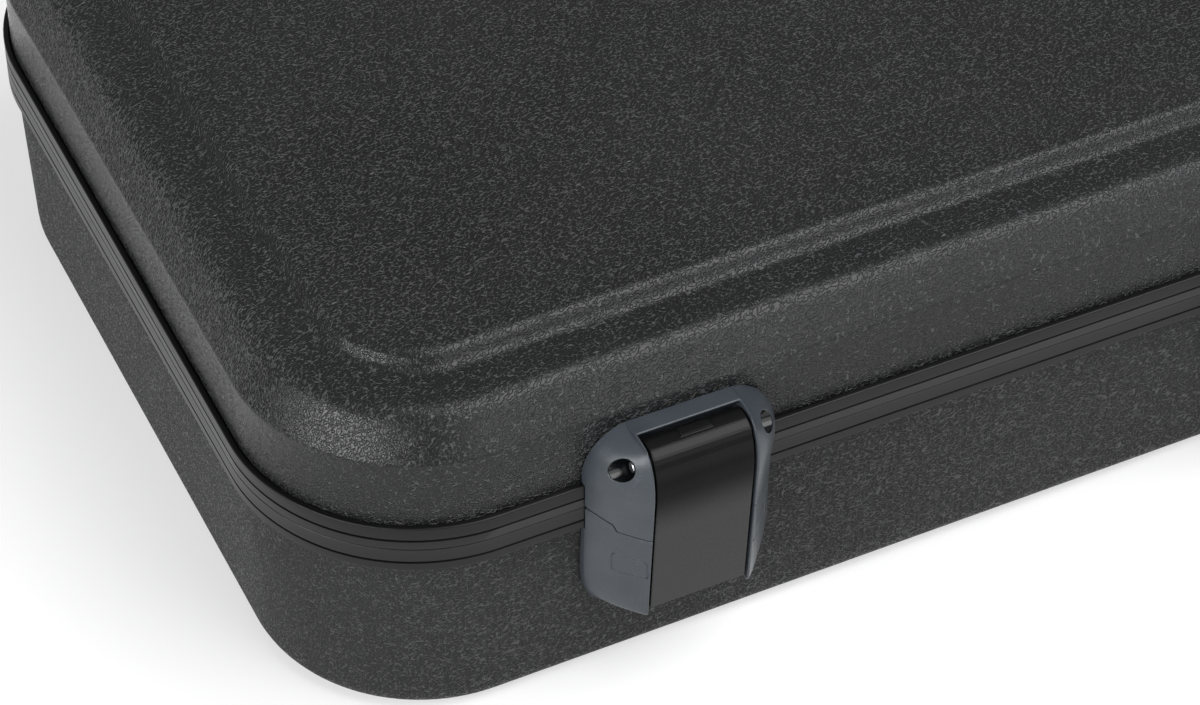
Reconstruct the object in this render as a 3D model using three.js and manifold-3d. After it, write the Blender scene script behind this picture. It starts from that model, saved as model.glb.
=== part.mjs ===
// Molded guitar case: two thick plastic shells with metal edge frames, hinged at the back,
// shut by lever latches in plastic bumpers, with a foam bed for the instrument and a handle.
// Millimetres, Z up. X runs along the case and Y from the latch side to the hinge side.
// The origin is the middle of the base's flat underside.
import * as THREE from "three";
import { mergeVertices } from "three/addons/utils/BufferGeometryUtils.js";
import Module from "manifold-3d";

const wasm = await Module();
wasm.setup();

// Driving dimensions of the case
const caseLength = 1070;
const caseWidth = 370;
const cornerRadius = 72;
const smallestCornerRadius = 6;
const cornerSegments = 8;
const seamHeight = 92.25;
const seamGap = 0.3;
const clearance = 0.3;
const runningClearance = 0.1;
const overrun = 6;
const roundSegments = 16;

// Shells
const shellThickness = 3;
const baseDraft = 2.2;
const baseEdgeRadius = 11;
const edgeSegments = 4;
const creaseRise = 38.4;
const lidDraft = 0.3;
const shoulderWidth = 11.8;
const shoulderHeight = 15.5;
const shoulderTurn = 5.2;
const ledgeWidth = 18.7;
const panelStepWidth = 3.5;
const panelStepHeight = 6;
const stepTurnShare = 0.46;
const turnSegments = 2;

// Edge frames, measured up or down from the seam
const frameFlange = 2.4;
const frameWeb = 1.8;
const frameReach = 10.4;
const frameLip = 0.9;
const lidFrameRise = 10.45;
const baseFrameDrop = 10.35;
const grooveDepth = 0.8;
const grooveHalfWidth = 0.55;
const lidGrooveRise = 4.45;
const baseGrooveDrop = 6.35;
const channelDepth = 3.5;
const channelWall = 1.8;
const channelInset = 3.4;
const tongueWidth = 2.8;
const tongueDepth = 1.5;

// Foam bed and pads
const bodyCavityLength = 430;
const bodyCavityWidth = 330;
const bodyCavityDepth = 55;
const bodyCavityEndWall = 14;
const bodyOutlineSteps = 48;
const neckCavityWidth = 80;
const neckCavityDepth = 41;
const headCavityWidth = 120;
const headCavityLength = 205;
const headCavityEndWall = 24;
const wellLength = 280;
const wellWidth = 92;
const wellDepth = 64;
const wellWall = 18;
const neckRestLength = 45;
const neckRestHeight = 24;
const neckSaddleRadius = 26;
const neckRestFromHead = 60;
const lidPadThickness = 14;
const lidPadMargin = 4;

// Latches, measured from the frame's outer face and from the seam
const latchFromEnd = 140.5;
const innerLatchFromMiddle = 128;
const bumperHalfWidth = 36.8;
const bumperShoulderRadius = 20;
const bumperTopFall = 1.7;
const bumperRimWidth = 0.6;
const bumperRise = 35.2;
const bumperDrop = 46.5;
const bumperDepth = 21.5;
const bumperLipDepth = 6.4;
const bumperLowDepth = 18.7;
const bumperFullDepthRise = 14;
const bumperTopSegments = 6;
const bumperFootHeight = 14;
const bumperFootHalfWidth = 33.4;
const bumperFootRounding = 2;
const bumperFootSegments = 4;
const topCurveShare = 2.6;
const lowCheekCurveShare = 1.16;
const highCheekCurveShare = 1.5;
const cheekTurnDrop = 5;
const cheekTurnRise = 20;
const cheekSegments = 4;
const windowHalfWidth = 19.8;
const bumperPlate = 1.8;
const windowSlopeRise = 28;
const windowLip = 0.5;
const splitOuterRise = 1;
const splitOuterFall = 2.3;
const splitStepFall = 5.3;
const splitStepOuter = 30.4;
const splitStepInner = 29.2;
const splitGap = 0.4;
const pivotDepth = 11.5;
const pivotRise = 25.5;
const pivotRadius = 2;
const pivotEndShow = 2;
const pivotPocketRadius = 4;
const pivotWall = 2.8;
const leverSideGap = 0.8;
const leverFlush = 0.6;
const leverThickness = 3;
const leverWeb = 3;
const leverDrop = 43;
const leverBarrelRadius = 8.3;
const leverTabRadius = 8.9;
const leverTabHalfWidth = 6;
const leverBarrelSegments = 12;
const leverEarRadius = 4.4;
const leverWebFootDrop = 30;
const hookPinDepth = 12;
const hookPinDrop = 9;
const hookPinRadius = 2;
const hookHalfWidth = 9;
const hookBossRadius = 4;
const hookShank = 4;
const hookDrop = 27;
const clawHeight = 3.5;
const clawGap = 0.4;
const strikerHalfWidth = 11;
const strikerThickness = 1.6;
const strikerLipReach = 4.6;
const strikerLipThickness = 1.8;
const strikerRise = 3;
const strikerDrop = 13;

// Hinges, measured from the frame's outer face and from the seam
const hingeSpacing = 330;
const hingeWidth = 64;
const hingeAxisDepth = 5;
const knuckleRadius = 4;
const hingePinRadius = 1.75;
const hingePinShow = 0.6;
const leafThickness = 2.4;
const leafHeight = 30;
const leafArmHeight = 6;
const middleKnuckleWidth = 31.4;

// Carry handle
const handleSpan = 124;
const handleArmWidth = 16;
const handleThickness = 13;
const handleGripHeight = 21;
const handleDrop = 52;
const handleEndAbovePivot = 8;
const handleBevel = 2.5;
const handleBevelSegments = 2;
const handleCornerRadius = 20;
const handleWindowRadius = 10;
const handleCurveSegments = 4;
const handlePivotDepth = 9;
const handlePivotHeight = 62;
const handlePinRadius = 2.5;
const handlePinShow = 1;
const bracketWidth = 14;
const bracketFaceDepth = 2.2;
const bracketBossRadius = 7;
const bracketMargin = 7;

// Sizes that follow from the ones above
const halfGap = seamGap / 2;
const wallSetback = frameFlange + clearance;
const lidWallFoot = seamHeight + halfGap + frameWeb + clearance;
const baseFrameWebTop = seamHeight - halfGap - channelDepth;
const baseWallTop = baseFrameWebTop - frameWeb - clearance;
const baseFootInset = wallSetback + baseDraft;
const frontY = -caseWidth / 2;
const rearY = caseWidth / 2;

// Materials
function plastic(hex, roughness) {
  return new THREE.MeshStandardMaterial({ color: hex, roughness, metalness: 0 });
}

function metal(hex, roughness) {
  return new THREE.MeshStandardMaterial({ color: hex, roughness, metalness: 1 });
}

const shellPlastic = plastic(0x2c2c2e, 0.7);
const frameMetal = metal(0x3a3a3c, 0.45);
const bumperPlastic = plastic(0x5b636d, 0.55);
const leverPlastic = plastic(0x1f1f21, 0.45);
const steel = metal(0xb8babd, 0.3);
const rubber = plastic(0x18181a, 0.85);
const foam = plastic(0x26262a, 0.95);

const model = new THREE.Group();
model.name = "molded_guitar_case";

// A loose triangle list becomes a geometry whose faces point out
function closedGeometry(points, triangles) {
  let volume = 0;
  for (const [a, b, c] of triangles) {
    const cross = new THREE.Vector3().crossVectors(points[b], points[c]);
    volume += points[a].dot(cross);
  }
  const facing = volume < 0 ? triangles.map(([a, b, c]) => [a, c, b]) : triangles;
  const geometry = new THREE.BufferGeometry();
  const positions = points.flatMap((point) => [point.x, point.y, point.z]);
  geometry.setAttribute("position", new THREE.Float32BufferAttribute(positions, 3));
  geometry.setIndex(facing.flat());
  return geometry;
}

// Rings of equal point counts joined one to the next, either round in a loop or with flat ends
function loftRings(rings, looped) {
  const count = rings[0].length;
  const points = rings.flat();
  const triangles = [];
  const spans = looped ? rings.length : rings.length - 1;
  for (let ring = 0; ring < spans; ring += 1) {
    const near = ring * count;
    const far = ((ring + 1) % rings.length) * count;
    for (let j = 0; j < count; j += 1) {
      const next = (j + 1) % count;
      triangles.push([near + j, near + next, far + next], [near + j, far + next, far + j]);
    }
  }
  if (!looped) {
    const last = (rings.length - 1) * count;
    for (const [a, b, c] of flatEnd(rings[0])) triangles.push([a, c, b]);
    for (const [a, b, c] of flatEnd(rings[rings.length - 1])) triangles.push([last + a, last + b, last + c]);
  }
  return closedGeometry(points, triangles);
}

function flatEnd(ring) {
  const outline = ring.map((point) => new THREE.Vector2(point.x, point.y));
  const faces = THREE.ShapeUtils.triangulateShape(outline, []);
  return THREE.ShapeUtils.area(outline) < 0 ? faces.map(([a, b, c]) => [a, c, b]) : faces;
}

function toSolid(geometry) {
  const bare = geometry.clone();
  bare.deleteAttribute("normal");
  bare.deleteAttribute("uv");
  const merged = mergeVertices(bare);
  return new wasm.Manifold(new wasm.Mesh({
    numProp: 3,
    vertProperties: merged.attributes.position.array,
    triVerts: Uint32Array.from(merged.index.array),
  }));
}

function toGeometry(solid) {
  const mesh = solid.getMesh();
  const geometry = new THREE.BufferGeometry();
  geometry.setAttribute("position", new THREE.BufferAttribute(mesh.vertProperties, 3));
  geometry.setIndex(new THREE.BufferAttribute(mesh.triVerts, 1));
  return geometry;
}

function addPiece(name, geometry, material, place = new THREE.Vector3()) {
  const shaded = geometry.clone();
  shaded.computeVertexNormals();
  const mesh = new THREE.Mesh(shaded, material);
  mesh.name = name;
  mesh.position.copy(place);
  model.add(mesh);
}

// Outline points [depth, height] pushed along X. Depth runs towards -Y, or +Y when facing is 1.
function extrudeAcross(outline, fromX, toX, facing = -1) {
  const ring = (x) => outline.map(([depth, height]) => new THREE.Vector3(depth * facing, height, x));
  const prism = loftRings([ring(fromX), ring(toX)], false);
  const turn = new THREE.Matrix4().set(0, 0, 1, 0, 1, 0, 0, 0, 0, 1, 0, 0, 0, 0, 0, 1);
  return toSolid(prism.applyMatrix4(turn));
}

// Outline points [x, height] pushed along Y
function extrudeThrough(outline, fromY, toY) {
  const ring = (y) => outline.map(([x, height]) => new THREE.Vector3(x, height, y));
  const prism = loftRings([ring(fromY), ring(toY)], false);
  const turn = new THREE.Matrix4().set(1, 0, 0, 0, 0, 0, 1, 0, 0, 1, 0, 0, 0, 0, 0, 1);
  const turned = prism.applyMatrix4(turn);
  turned.setIndex(flipped(turned.index.array));
  return toSolid(turned);
}

function flipped(index) {
  const result = [];
  for (let i = 0; i < index.length; i += 3) result.push(index[i], index[i + 2], index[i + 1]);
  return result;
}

// Outline points [x, y] pushed up from one height to another
function extrudeUp(outline, low, high) {
  const ring = (z) => outline.map(([x, y]) => new THREE.Vector3(x, y, z));
  return toSolid(loftRings([ring(low), ring(high)], false));
}

function rodAcross(radius, fromX, toX, depth, height, facing = -1) {
  return extrudeAcross(circle(depth, height, radius), fromX, toX, facing);
}

function circle(depth, height, radius, segments = roundSegments) {
  return arc(depth, height, radius, 0, 2 * Math.PI, segments).slice(0, segments);
}

function arc(depth, height, radius, from, to, segments) {
  const points = [];
  for (let k = 0; k <= segments; k += 1) {
    const angle = from + (to - from) * k / segments;
    points.push([depth + radius * Math.cos(angle), height + radius * Math.sin(angle)]);
  }
  return points;
}

function blockUp(centreX, centreY, length, width, low, high) {
  const x = length / 2;
  const y = width / 2;
  const corners = [[-x, -y], [x, -y], [x, y], [-x, y]];
  return extrudeUp(corners.map(([dx, dy]) => [centreX + dx, centreY + dy]), low, high);
}

// The case's plan outline, drawn in from the frame's outer face by the inset
function caseRing([inset, height]) {
  const radius = Math.max(cornerRadius - inset, smallestCornerRadius);
  const x = caseLength / 2 - inset - radius;
  const y = caseWidth / 2 - inset - radius;
  const centres = [[x, y], [-x, y], [-x, -y], [x, -y]];
  return centres.flatMap(([cx, cy], quarter) => {
    const start = quarter * Math.PI / 2;
    const points = arc(cx, cy, radius, start, start + Math.PI / 2, cornerSegments);
    return points.map(([px, py]) => new THREE.Vector3(px, py, height));
  });
}

// Shell profiles, as [inset, height]
function baseWallInset(height) {
  const share = (baseWallTop - height) / (baseWallTop - baseEdgeRadius);
  return wallSetback + baseDraft * share;
}

function baseEdge(radius, wallInset, floor) {
  const points = [];
  for (let k = 0; k <= edgeSegments; k += 1) {
    const angle = Math.PI / 2 * k / edgeSegments;
    const inset = wallInset + radius * (1 - Math.sin(angle));
    points.push([inset, floor + radius * (1 - Math.cos(angle))]);
  }
  return points;
}

function makeBaseShell() {
  const outside = baseEdge(baseEdgeRadius, baseFootInset, 0);
  const innerRadius = baseEdgeRadius - shellThickness;
  const inside = baseEdge(innerRadius, baseFootInset + shellThickness, shellThickness);
  outside.push([wallSetback, baseWallTop]);
  inside.push([wallSetback + shellThickness, baseWallTop]);
  const profile = [...outside, ...inside.reverse()];
  addPiece("base_shell", loftRings(profile.map(caseRing), false), shellPlastic);
}

function towards(from, to, run) {
  const share = run / Math.hypot(to[0] - from[0], to[1] - from[1]);
  return [from[0] + (to[0] - from[0]) * share, from[1] + (to[1] - from[1]) * share];
}

// A profile's corner, turned over the same run before and after it
function turned(before, corner, after, run) {
  const start = towards(corner, before, run);
  const end = towards(corner, after, run);
  const points = [];
  for (let k = 0; k <= turnSegments; k += 1) {
    const t = k / turnSegments;
    const pull = 2 * t * (1 - t);
    const rest = (1 - t) ** 2;
    points.push([0, 1].map((i) => rest * start[i] + pull * corner[i] + t * t * end[i]));
  }
  return points;
}

function lidOutside() {
  const crease = [wallSetback + lidDraft, seamHeight + creaseRise];
  const shoulder = [crease[0] + shoulderWidth, crease[1] + shoulderHeight];
  const ledge = [shoulder[0] + ledgeWidth, shoulder[1]];
  const panel = [ledge[0] + panelStepWidth, ledge[1] + panelStepHeight];
  const inward = [panel[0] + ledgeWidth, panel[1]];
  const stepTurn = stepTurnShare * Math.hypot(panelStepWidth, panelStepHeight);
  return [
    [wallSetback, lidWallFoot],
    crease,
    ...turned(crease, shoulder, ledge, shoulderTurn),
    ...turned(shoulder, ledge, panel, stepTurn),
    ...turned(ledge, panel, inward, stepTurn),
  ];
}

// Each point of a profile moved square to its neighbours by the shell's thickness
function thickened(points, thickness) {
  return points.map((point, i) => {
    const before = i > 0 ? points[i - 1] : [point[0], point[1] - 1];
    const after = i < points.length - 1 ? points[i + 1] : [point[0] + 1, point[1]];
    const first = unitNormal(before, point);
    const second = unitNormal(point, after);
    const spread = 1 + first[0] * second[0] + first[1] * second[1];
    const scale = thickness / spread;
    return [point[0] + (first[0] + second[0]) * scale, point[1] + (first[1] + second[1]) * scale];
  });
}

function unitNormal(from, to) {
  const run = to[0] - from[0];
  const rise = to[1] - from[1];
  const length = Math.hypot(run, rise);
  return [rise / length, -run / length];
}

function makeLidShell() {
  const outside = lidOutside();
  const inside = thickened(outside, shellThickness);
  inside[0] = [outside[0][0] + shellThickness, outside[0][1]];
  const profile = [...inside.reverse(), ...outside];
  addPiece("lid_shell", loftRings(profile.map(caseRing), false), shellPlastic);
}

function aboveSeam(profile) {
  return profile.map(([inset, rise]) => caseRing([inset, seamHeight + rise]));
}

function groove(rise) {
  return [[0, rise - grooveHalfWidth], [grooveDepth, rise], [0, rise + grooveHalfWidth]];
}

function makeLidFrame() {
  const webTop = halfGap + frameWeb;
  const tongueInset = channelInset + (frameReach - channelWall - channelInset - tongueWidth) / 2;
  const tongueFoot = halfGap - tongueDepth;
  const profile = [
    [0, halfGap],
    ...groove(lidGrooveRise),
    [0, lidFrameRise - frameLip],
    [frameLip, lidFrameRise],
    [frameFlange - frameLip / 2, lidFrameRise],
    [frameFlange, lidFrameRise - frameLip / 2],
    [frameFlange, webTop],
    [frameReach, webTop],
    [frameReach, halfGap],
    [tongueInset + tongueWidth, halfGap],
    [tongueInset + tongueWidth, tongueFoot],
    [tongueInset, tongueFoot],
    [tongueInset, halfGap],
  ];
  addPiece("lid_frame", loftRings(aboveSeam(profile), true), frameMetal);
}

function makeBaseFrame() {
  const floor = baseFrameWebTop - seamHeight;
  const underside = floor - frameWeb;
  const profile = [
    [0, -halfGap],
    ...groove(-baseGrooveDrop).reverse(),
    [0, -baseFrameDrop],
    [frameFlange, -baseFrameDrop],
    [frameFlange, underside],
    [frameReach, underside],
    [frameReach, -halfGap],
    [frameReach - channelWall, -halfGap],
    [frameReach - channelWall, floor],
    [channelInset, floor],
    [channelInset, -halfGap],
  ];
  addPiece("base_frame", loftRings(aboveSeam(profile), true), frameMetal);
}

function makeGasket() {
  const outer = channelInset + clearance;
  const inner = frameReach - channelWall - clearance;
  const foot = baseFrameWebTop - seamHeight + clearance;
  const top = halfGap - tongueDepth - clearance;
  const profile = [[outer, foot], [outer, top], [inner, top], [inner, foot]];
  addPiece("seam_gasket", loftRings(aboveSeam(profile), true), rubber);
}

// Foam bed: half outline of the instrument's body as shares of its length and half width
const bodyOutlineShares = [
  [0, 0], [0.03, 0.55], [0.13, 0.88], [0.28, 1], [0.44, 0.9], [0.57, 0.77],
  [0.7, 0.79], [0.84, 0.86], [0.95, 0.7], [1, 0.35], [1, 0],
];
const foamTop = baseWallTop - clearance;
const foamInset = wallSetback + shellThickness + clearance;
const bodyStart = -caseLength / 2 + foamInset + bodyCavityEndWall;
const bodyEnd = bodyStart + bodyCavityLength;
const headEnd = caseLength / 2 - foamInset - headCavityEndWall;
const headStart = headEnd - headCavityLength;

function bodyOutline() {
  const place = ([along, across]) => new THREE.Vector3(
    bodyStart + along * bodyCavityLength, across * bodyCavityWidth / 2, 0);
  const upper = bodyOutlineShares.map(place);
  const mirrored = bodyOutlineShares.slice(1, -1).reverse().map(([along, across]) => place([along, -across]));
  const curve = new THREE.CatmullRomCurve3([...upper, ...mirrored], true);
  return curve.getPoints(bodyOutlineSteps).slice(0, bodyOutlineSteps).map(({ x, y }) => [x, y]);
}

function makeFoamBed() {
  const lowInset = baseFootInset + shellThickness + clearance;
  const profile = [
    [baseFootInset + baseEdgeRadius, shellThickness + clearance],
    [lowInset, baseEdgeRadius],
    [foamInset, foamTop],
  ];
  const above = foamTop + overrun;
  const neckLength = headStart - bodyEnd + 2 * overrun;
  const neckMiddle = (headStart + bodyEnd) / 2;
  const neckFloor = foamTop - neckCavityDepth;
  const wellSide = neckCavityWidth / 2 + wellWall + wellWidth / 2;
  const cuts = [
    extrudeUp(bodyOutline(), foamTop - bodyCavityDepth, above),
    blockUp(neckMiddle, 0, neckLength, neckCavityWidth, neckFloor, above),
    blockUp((headStart + headEnd) / 2, 0, headCavityLength, headCavityWidth, neckFloor, above),
    blockUp(neckMiddle, -wellSide, wellLength, wellWidth, foamTop - wellDepth, above),
    blockUp(neckMiddle, wellSide, wellLength, wellWidth, foamTop - wellDepth, above),
  ];
  let bed = toSolid(loftRings(profile.map(caseRing), false));
  for (const cut of cuts) bed = bed.subtract(cut);
  addPiece("foam_bed", toGeometry(bed), foam);
}

function makeNeckRest() {
  const floor = foamTop - neckCavityDepth + clearance;
  const middle = headStart - neckRestFromHead;
  const width = neckCavityWidth - 2 * clearance;
  const block = blockUp(middle, 0, neckRestLength, width, floor, floor + neckRestHeight);
  const fromX = middle - neckRestLength / 2 - overrun;
  const toX = middle + neckRestLength / 2 + overrun;
  const saddleHeight = floor + neckRestHeight + neckSaddleRadius / 2;
  const saddle = rodAcross(neckSaddleRadius, fromX, toX, 0, saddleHeight);
  addPiece("neck_rest", toGeometry(block.subtract(saddle)), foam);
}

function makeLidPad() {
  const outside = lidOutside();
  const [panelInset, panelTop] = outside[outside.length - 1];
  const inset = panelInset + shellThickness + lidPadMargin;
  const top = panelTop - shellThickness - clearance;
  const profile = [[inset, top - lidPadThickness], [inset, top]];
  addPiece("lid_pad", loftRings(profile.map(caseRing), false), foam);
}

// Latches. Each is drawn about the point of the seam on the frame's front face.
function topCurve(share) {
  return (1 - share ** topCurveShare) ** (1 / topCurveShare);
}

function circleCurve(share) {
  return Math.sqrt(Math.max(1 - share * share, 0));
}

function bumperDepthAt(rise) {
  if (rise > bumperFullDepthRise) {
    const share = Math.min((rise - bumperFullDepthRise) / (bumperRise - bumperFullDepthRise), 1);
    return bumperLipDepth + (bumperDepth - bumperLipDepth) * topCurve(share);
  }
  const taperFoot = bumperFootRounding - bumperDrop;
  const share = (bumperFullDepthRise - rise) / (bumperFullDepthRise - taperFoot);
  if (share <= 1) return bumperDepth + (bumperLowDepth - bumperDepth) * share;
  const down = (taperFoot - rise) / bumperFootRounding;
  return bumperLowDepth - bumperFootRounding * (1 - circleCurve(Math.min(down, 1)));
}

function bumperHalfWidthAt(rise) {
  if (rise > bumperFullDepthRise) {
    const share = Math.min((rise - bumperFullDepthRise) / bumperShoulderRadius, 1);
    const shoulder = bumperHalfWidth - bumperShoulderRadius * (1 - circleCurve(share));
    return Math.max(shoulder, windowHalfWidth + 2 * bumperRimWidth);
  }
  const down = bumperFootHeight - bumperDrop - rise;
  if (down <= 0) return bumperHalfWidth;
  const share = Math.min(down / bumperFootHeight, 1);
  return bumperFootHalfWidth + (bumperHalfWidth - bumperFootHalfWidth) * circleCurve(share);
}

function bumperLevels() {
  const levels = [];
  for (let k = bumperFootSegments; k >= 0; k -= 1) {
    const angle = Math.PI / 2 * k / bumperFootSegments;
    levels.push(bumperFootHeight - bumperDrop - bumperFootHeight * Math.sin(angle));
  }
  levels.splice(1, 0, bumperFootRounding / 2 - bumperDrop);
  for (let k = 0; k <= bumperTopSegments; k += 1) {
    const angle = Math.PI / 2 * k / bumperTopSegments;
    levels.push(bumperFullDepthRise + (bumperRise - bumperFullDepthRise) * Math.sin(angle));
  }
  return levels.sort((a, b) => a - b);
}

// How full a cheek's curve is: nearly straight at the foot, rounder beside the pivot
function cheekCurveAt(rise) {
  const share = (rise + cheekTurnDrop) / (cheekTurnRise + cheekTurnDrop);
  const turned = Math.min(Math.max(share, 0), 1);
  return lowCheekCurveShare + (highCheekCurveShare - lowCheekCurveShare) * turned;
}

// A level cut through both cheeks, wide at the wall and narrow at the window's rim
function bumperRing(rise) {
  const wide = bumperHalfWidthAt(rise);
  const narrow = windowHalfWidth + bumperRimWidth;
  const depth = bumperDepthAt(rise);
  const curve = cheekCurveAt(rise);
  const side = [[wide, -wallSetback - overrun]];
  for (let k = 0; k <= cheekSegments; k += 1) {
    const angle = Math.PI / 2 * k / cheekSegments;
    const across = Math.max(Math.cos(angle), 0) ** (2 / curve);
    const out = Math.sin(angle) ** (2 / curve);
    side.push([narrow + (wide - narrow) * across, depth * out]);
  }
  const other = side.map(([across, out]) => [-across, out]).reverse();
  return [...side, ...other].map(([across, out]) => new THREE.Vector3(across, -out, rise));
}

// The case's own front, grown by the clearance, as [depth, rise]
function caseFrontOutline() {
  const high = bumperRise + overrun;
  const low = -bumperDrop - overrun;
  const behind = -wallSetback - 2 * overrun;
  return [
    [behind, low],
    [clearance - baseWallInset(seamHeight + low), low],
    [clearance - wallSetback, -baseFrameDrop - clearance],
    [clearance, -baseFrameDrop - clearance],
    [clearance, lidFrameRise + clearance],
    [clearance - wallSetback, lidFrameRise + clearance],
    [clearance - wallSetback, high],
    [behind, high],
  ];
}

function windowOutline() {
  const plateFace = clearance + bumperPlate;
  const high = bumperRise + overrun;
  const low = -bumperDrop - overrun;
  const out = bumperDepth + overrun;
  return [
    [plateFace, low],
    [plateFace, windowSlopeRise],
    [bumperLipDepth, bumperRise - windowLip],
    [bumperLipDepth, high],
    [out, high],
    [out, low],
  ];
}

// What lies above the top face, which falls from its front lip to the wall
function aboveTopOutline() {
  const high = bumperRise + overrun;
  return [
    [-wallSetback, bumperRise - bumperTopFall],
    [bumperLipDepth, bumperRise],
    [bumperLipDepth, high],
    [-wallSetback, high],
  ];
}

// The parting line of the two bumpers, shifted up or down by half its gap
function splitLine(shift) {
  const side = [
    [bumperHalfWidth + overrun, shift + splitOuterRise],
    [bumperHalfWidth, shift + splitOuterRise],
    [splitStepOuter, shift - splitOuterFall],
    [splitStepInner, shift - splitStepFall],
  ];
  return [...side, ...side.map(([across, rise]) => [-across, rise]).reverse()];
}

function bumperHalves() {
  const reach = bumperHalfWidth + overrun;
  const outside = toSolid(loftRings(bumperLevels().map(bumperRing), false));
  const pocketFrom = windowHalfWidth + pivotWall;
  const cuts = [
    extrudeAcross(caseFrontOutline(), -reach, reach),
    extrudeAcross(aboveTopOutline(), -reach, reach),
    extrudeAcross(windowOutline(), -windowHalfWidth, windowHalfWidth),
    rodAcross(pivotRadius + runningClearance, -reach, reach, pivotDepth, pivotRise),
    rodAcross(pivotPocketRadius, pocketFrom, reach, pivotDepth, pivotRise),
    rodAcross(pivotPocketRadius, -reach, -pocketFrom, pivotDepth, pivotRise),
  ];
  let housing = outside;
  for (const cut of cuts) housing = housing.subtract(cut);
  const top = bumperRise + overrun;
  const foot = -bumperDrop - overrun;
  const near = overrun + bumperDepth;
  const below = [...splitLine(splitGap / 2), [-reach, foot], [reach, foot]];
  const above = [...splitLine(-splitGap / 2), [-reach, top], [reach, top]];
  return {
    lid: toGeometry(housing.subtract(extrudeThrough(below, -near, near))),
    base: toGeometry(housing.subtract(extrudeThrough(above, -near, near))),
  };
}

function leverFront() {
  const points = [];
  const barrelStart = Math.PI / 4;
  const top = pivotRise + leverBarrelRadius * Math.sin(barrelStart);
  const rises = bumperLevels().filter((rise) => rise > -leverDrop && rise < top - overrun / 2);
  for (const rise of [-leverDrop, ...rises]) points.push([bumperDepthAt(rise) - leverFlush, rise]);
  return points;
}

function leverShape() {
  const front = leverFront();
  const barrel = arc(pivotDepth, pivotRise, leverBarrelRadius, Math.PI / 4, Math.PI * 1.1,
    leverBarrelSegments);
  const ear = arc(hookPinDepth, -hookPinDrop, leverEarRadius, Math.PI * 0.8, Math.PI * 1.3,
    cheekSegments);
  const foot = [bumperDepthAt(-leverWebFootDrop) - leverFlush - leverThickness, -leverWebFootDrop];
  const heel = [bumperDepthAt(-leverDrop) - leverFlush - leverThickness, -leverDrop];
  return [...front, ...barrel, ...ear, foot, heel];
}

function leverHollow() {
  const top = pivotRise - leverBarrelRadius;
  const rises = [-leverDrop - overrun, ...bumperLevels().filter((rise) => rise > -leverDrop && rise < top), top];
  const face = rises.map((rise) => [bumperDepthAt(Math.max(rise, -leverDrop)) - leverFlush - leverThickness, rise]);
  return [...face, [0, top], [0, -leverDrop - overrun]];
}

function leverGeometry() {
  const half = windowHalfWidth - leverSideGap;
  const bore = pivotRadius + runningClearance;
  const earBore = hookPinRadius + runningClearance;
  const tab = arc(pivotDepth, pivotRise, leverTabRadius, Math.PI * 0.48, Math.PI * 0.62, 2);
  const tabOutline = [...tab, [pivotDepth, pivotRise + leverThickness]];
  const lever = extrudeAcross(leverShape(), -half, half)
    .subtract(extrudeAcross(leverHollow(), leverWeb - half, half - leverWeb))
    .add(extrudeAcross(tabOutline, -leverTabHalfWidth, leverTabHalfWidth))
    .subtract(rodAcross(bore, -half - overrun, half + overrun, pivotDepth, pivotRise))
    .subtract(rodAcross(earBore, -half - overrun, half + overrun, hookPinDepth, -hookPinDrop));
  return toGeometry(lever);
}

function hookGeometry() {
  const boss = arc(hookPinDepth, -hookPinDrop, hookBossRadius, -0.1 * Math.PI, 1.1 * Math.PI,
    roundSegments / 2);
  const shankBack = hookPinDepth - hookShank / 2;
  const shankFront = hookPinDepth + hookShank / 2;
  const clawTop = clawHeight - hookDrop;
  const tip = clearance + bumperPlate + clearance + strikerLipReach + clawGap;
  const outline = [...boss, [shankBack, clawTop], [tip, clawTop], [tip, -hookDrop], [shankFront, -hookDrop]];
  const bore = rodAcross(hookPinRadius + runningClearance, -hookHalfWidth - overrun,
    hookHalfWidth + overrun, hookPinDepth, -hookPinDrop);
  return toGeometry(extrudeAcross(outline, -hookHalfWidth, hookHalfWidth).subtract(bore));
}

function strikerGeometry() {
  const back = clearance + bumperPlate + clearance;
  const face = back + strikerThickness;
  const lipFoot = clawHeight - hookDrop + clearance;
  const lipTop = lipFoot + strikerLipThickness;
  const outline = [
    [back, lipFoot - strikerDrop],
    [face, lipFoot - strikerDrop],
    [face, lipFoot],
    [back + strikerLipReach, lipFoot],
    [back + strikerLipReach, lipTop],
    [face, lipTop],
    [face, lipTop + strikerRise],
    [back, lipTop + strikerRise],
  ];
  return toGeometry(extrudeAcross(outline, -strikerHalfWidth, strikerHalfWidth));
}

function makeLatches() {
  const outer = caseLength / 2 - latchFromEnd;
  const places = [-outer, -innerLatchFromMiddle, innerLatchFromMiddle, outer];
  const { lid, base } = bumperHalves();
  const pivotHalf = windowHalfWidth + pivotWall + pivotEndShow;
  const hookPinHalf = windowHalfWidth - leverSideGap;
  const pieces = {
    lid_bumper: [lid, bumperPlastic],
    base_bumper: [base, bumperPlastic],
    lever: [leverGeometry(), leverPlastic],
    pivot_pin: [toGeometry(rodAcross(pivotRadius, -pivotHalf, pivotHalf, pivotDepth, pivotRise)), steel],
    hook: [hookGeometry(), steel],
    hook_pin: [toGeometry(rodAcross(hookPinRadius, -hookPinHalf, hookPinHalf, hookPinDepth, -hookPinDrop)), steel],
    striker: [strikerGeometry(), steel],
  };
  places.forEach((x, i) => {
    const place = new THREE.Vector3(x, frontY, seamHeight);
    for (const [piece, [geometry, material]] of Object.entries(pieces)) {
      addPiece(`latch_${i + 1}_${piece}`, geometry, material, place);
    }
  });
}

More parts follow.
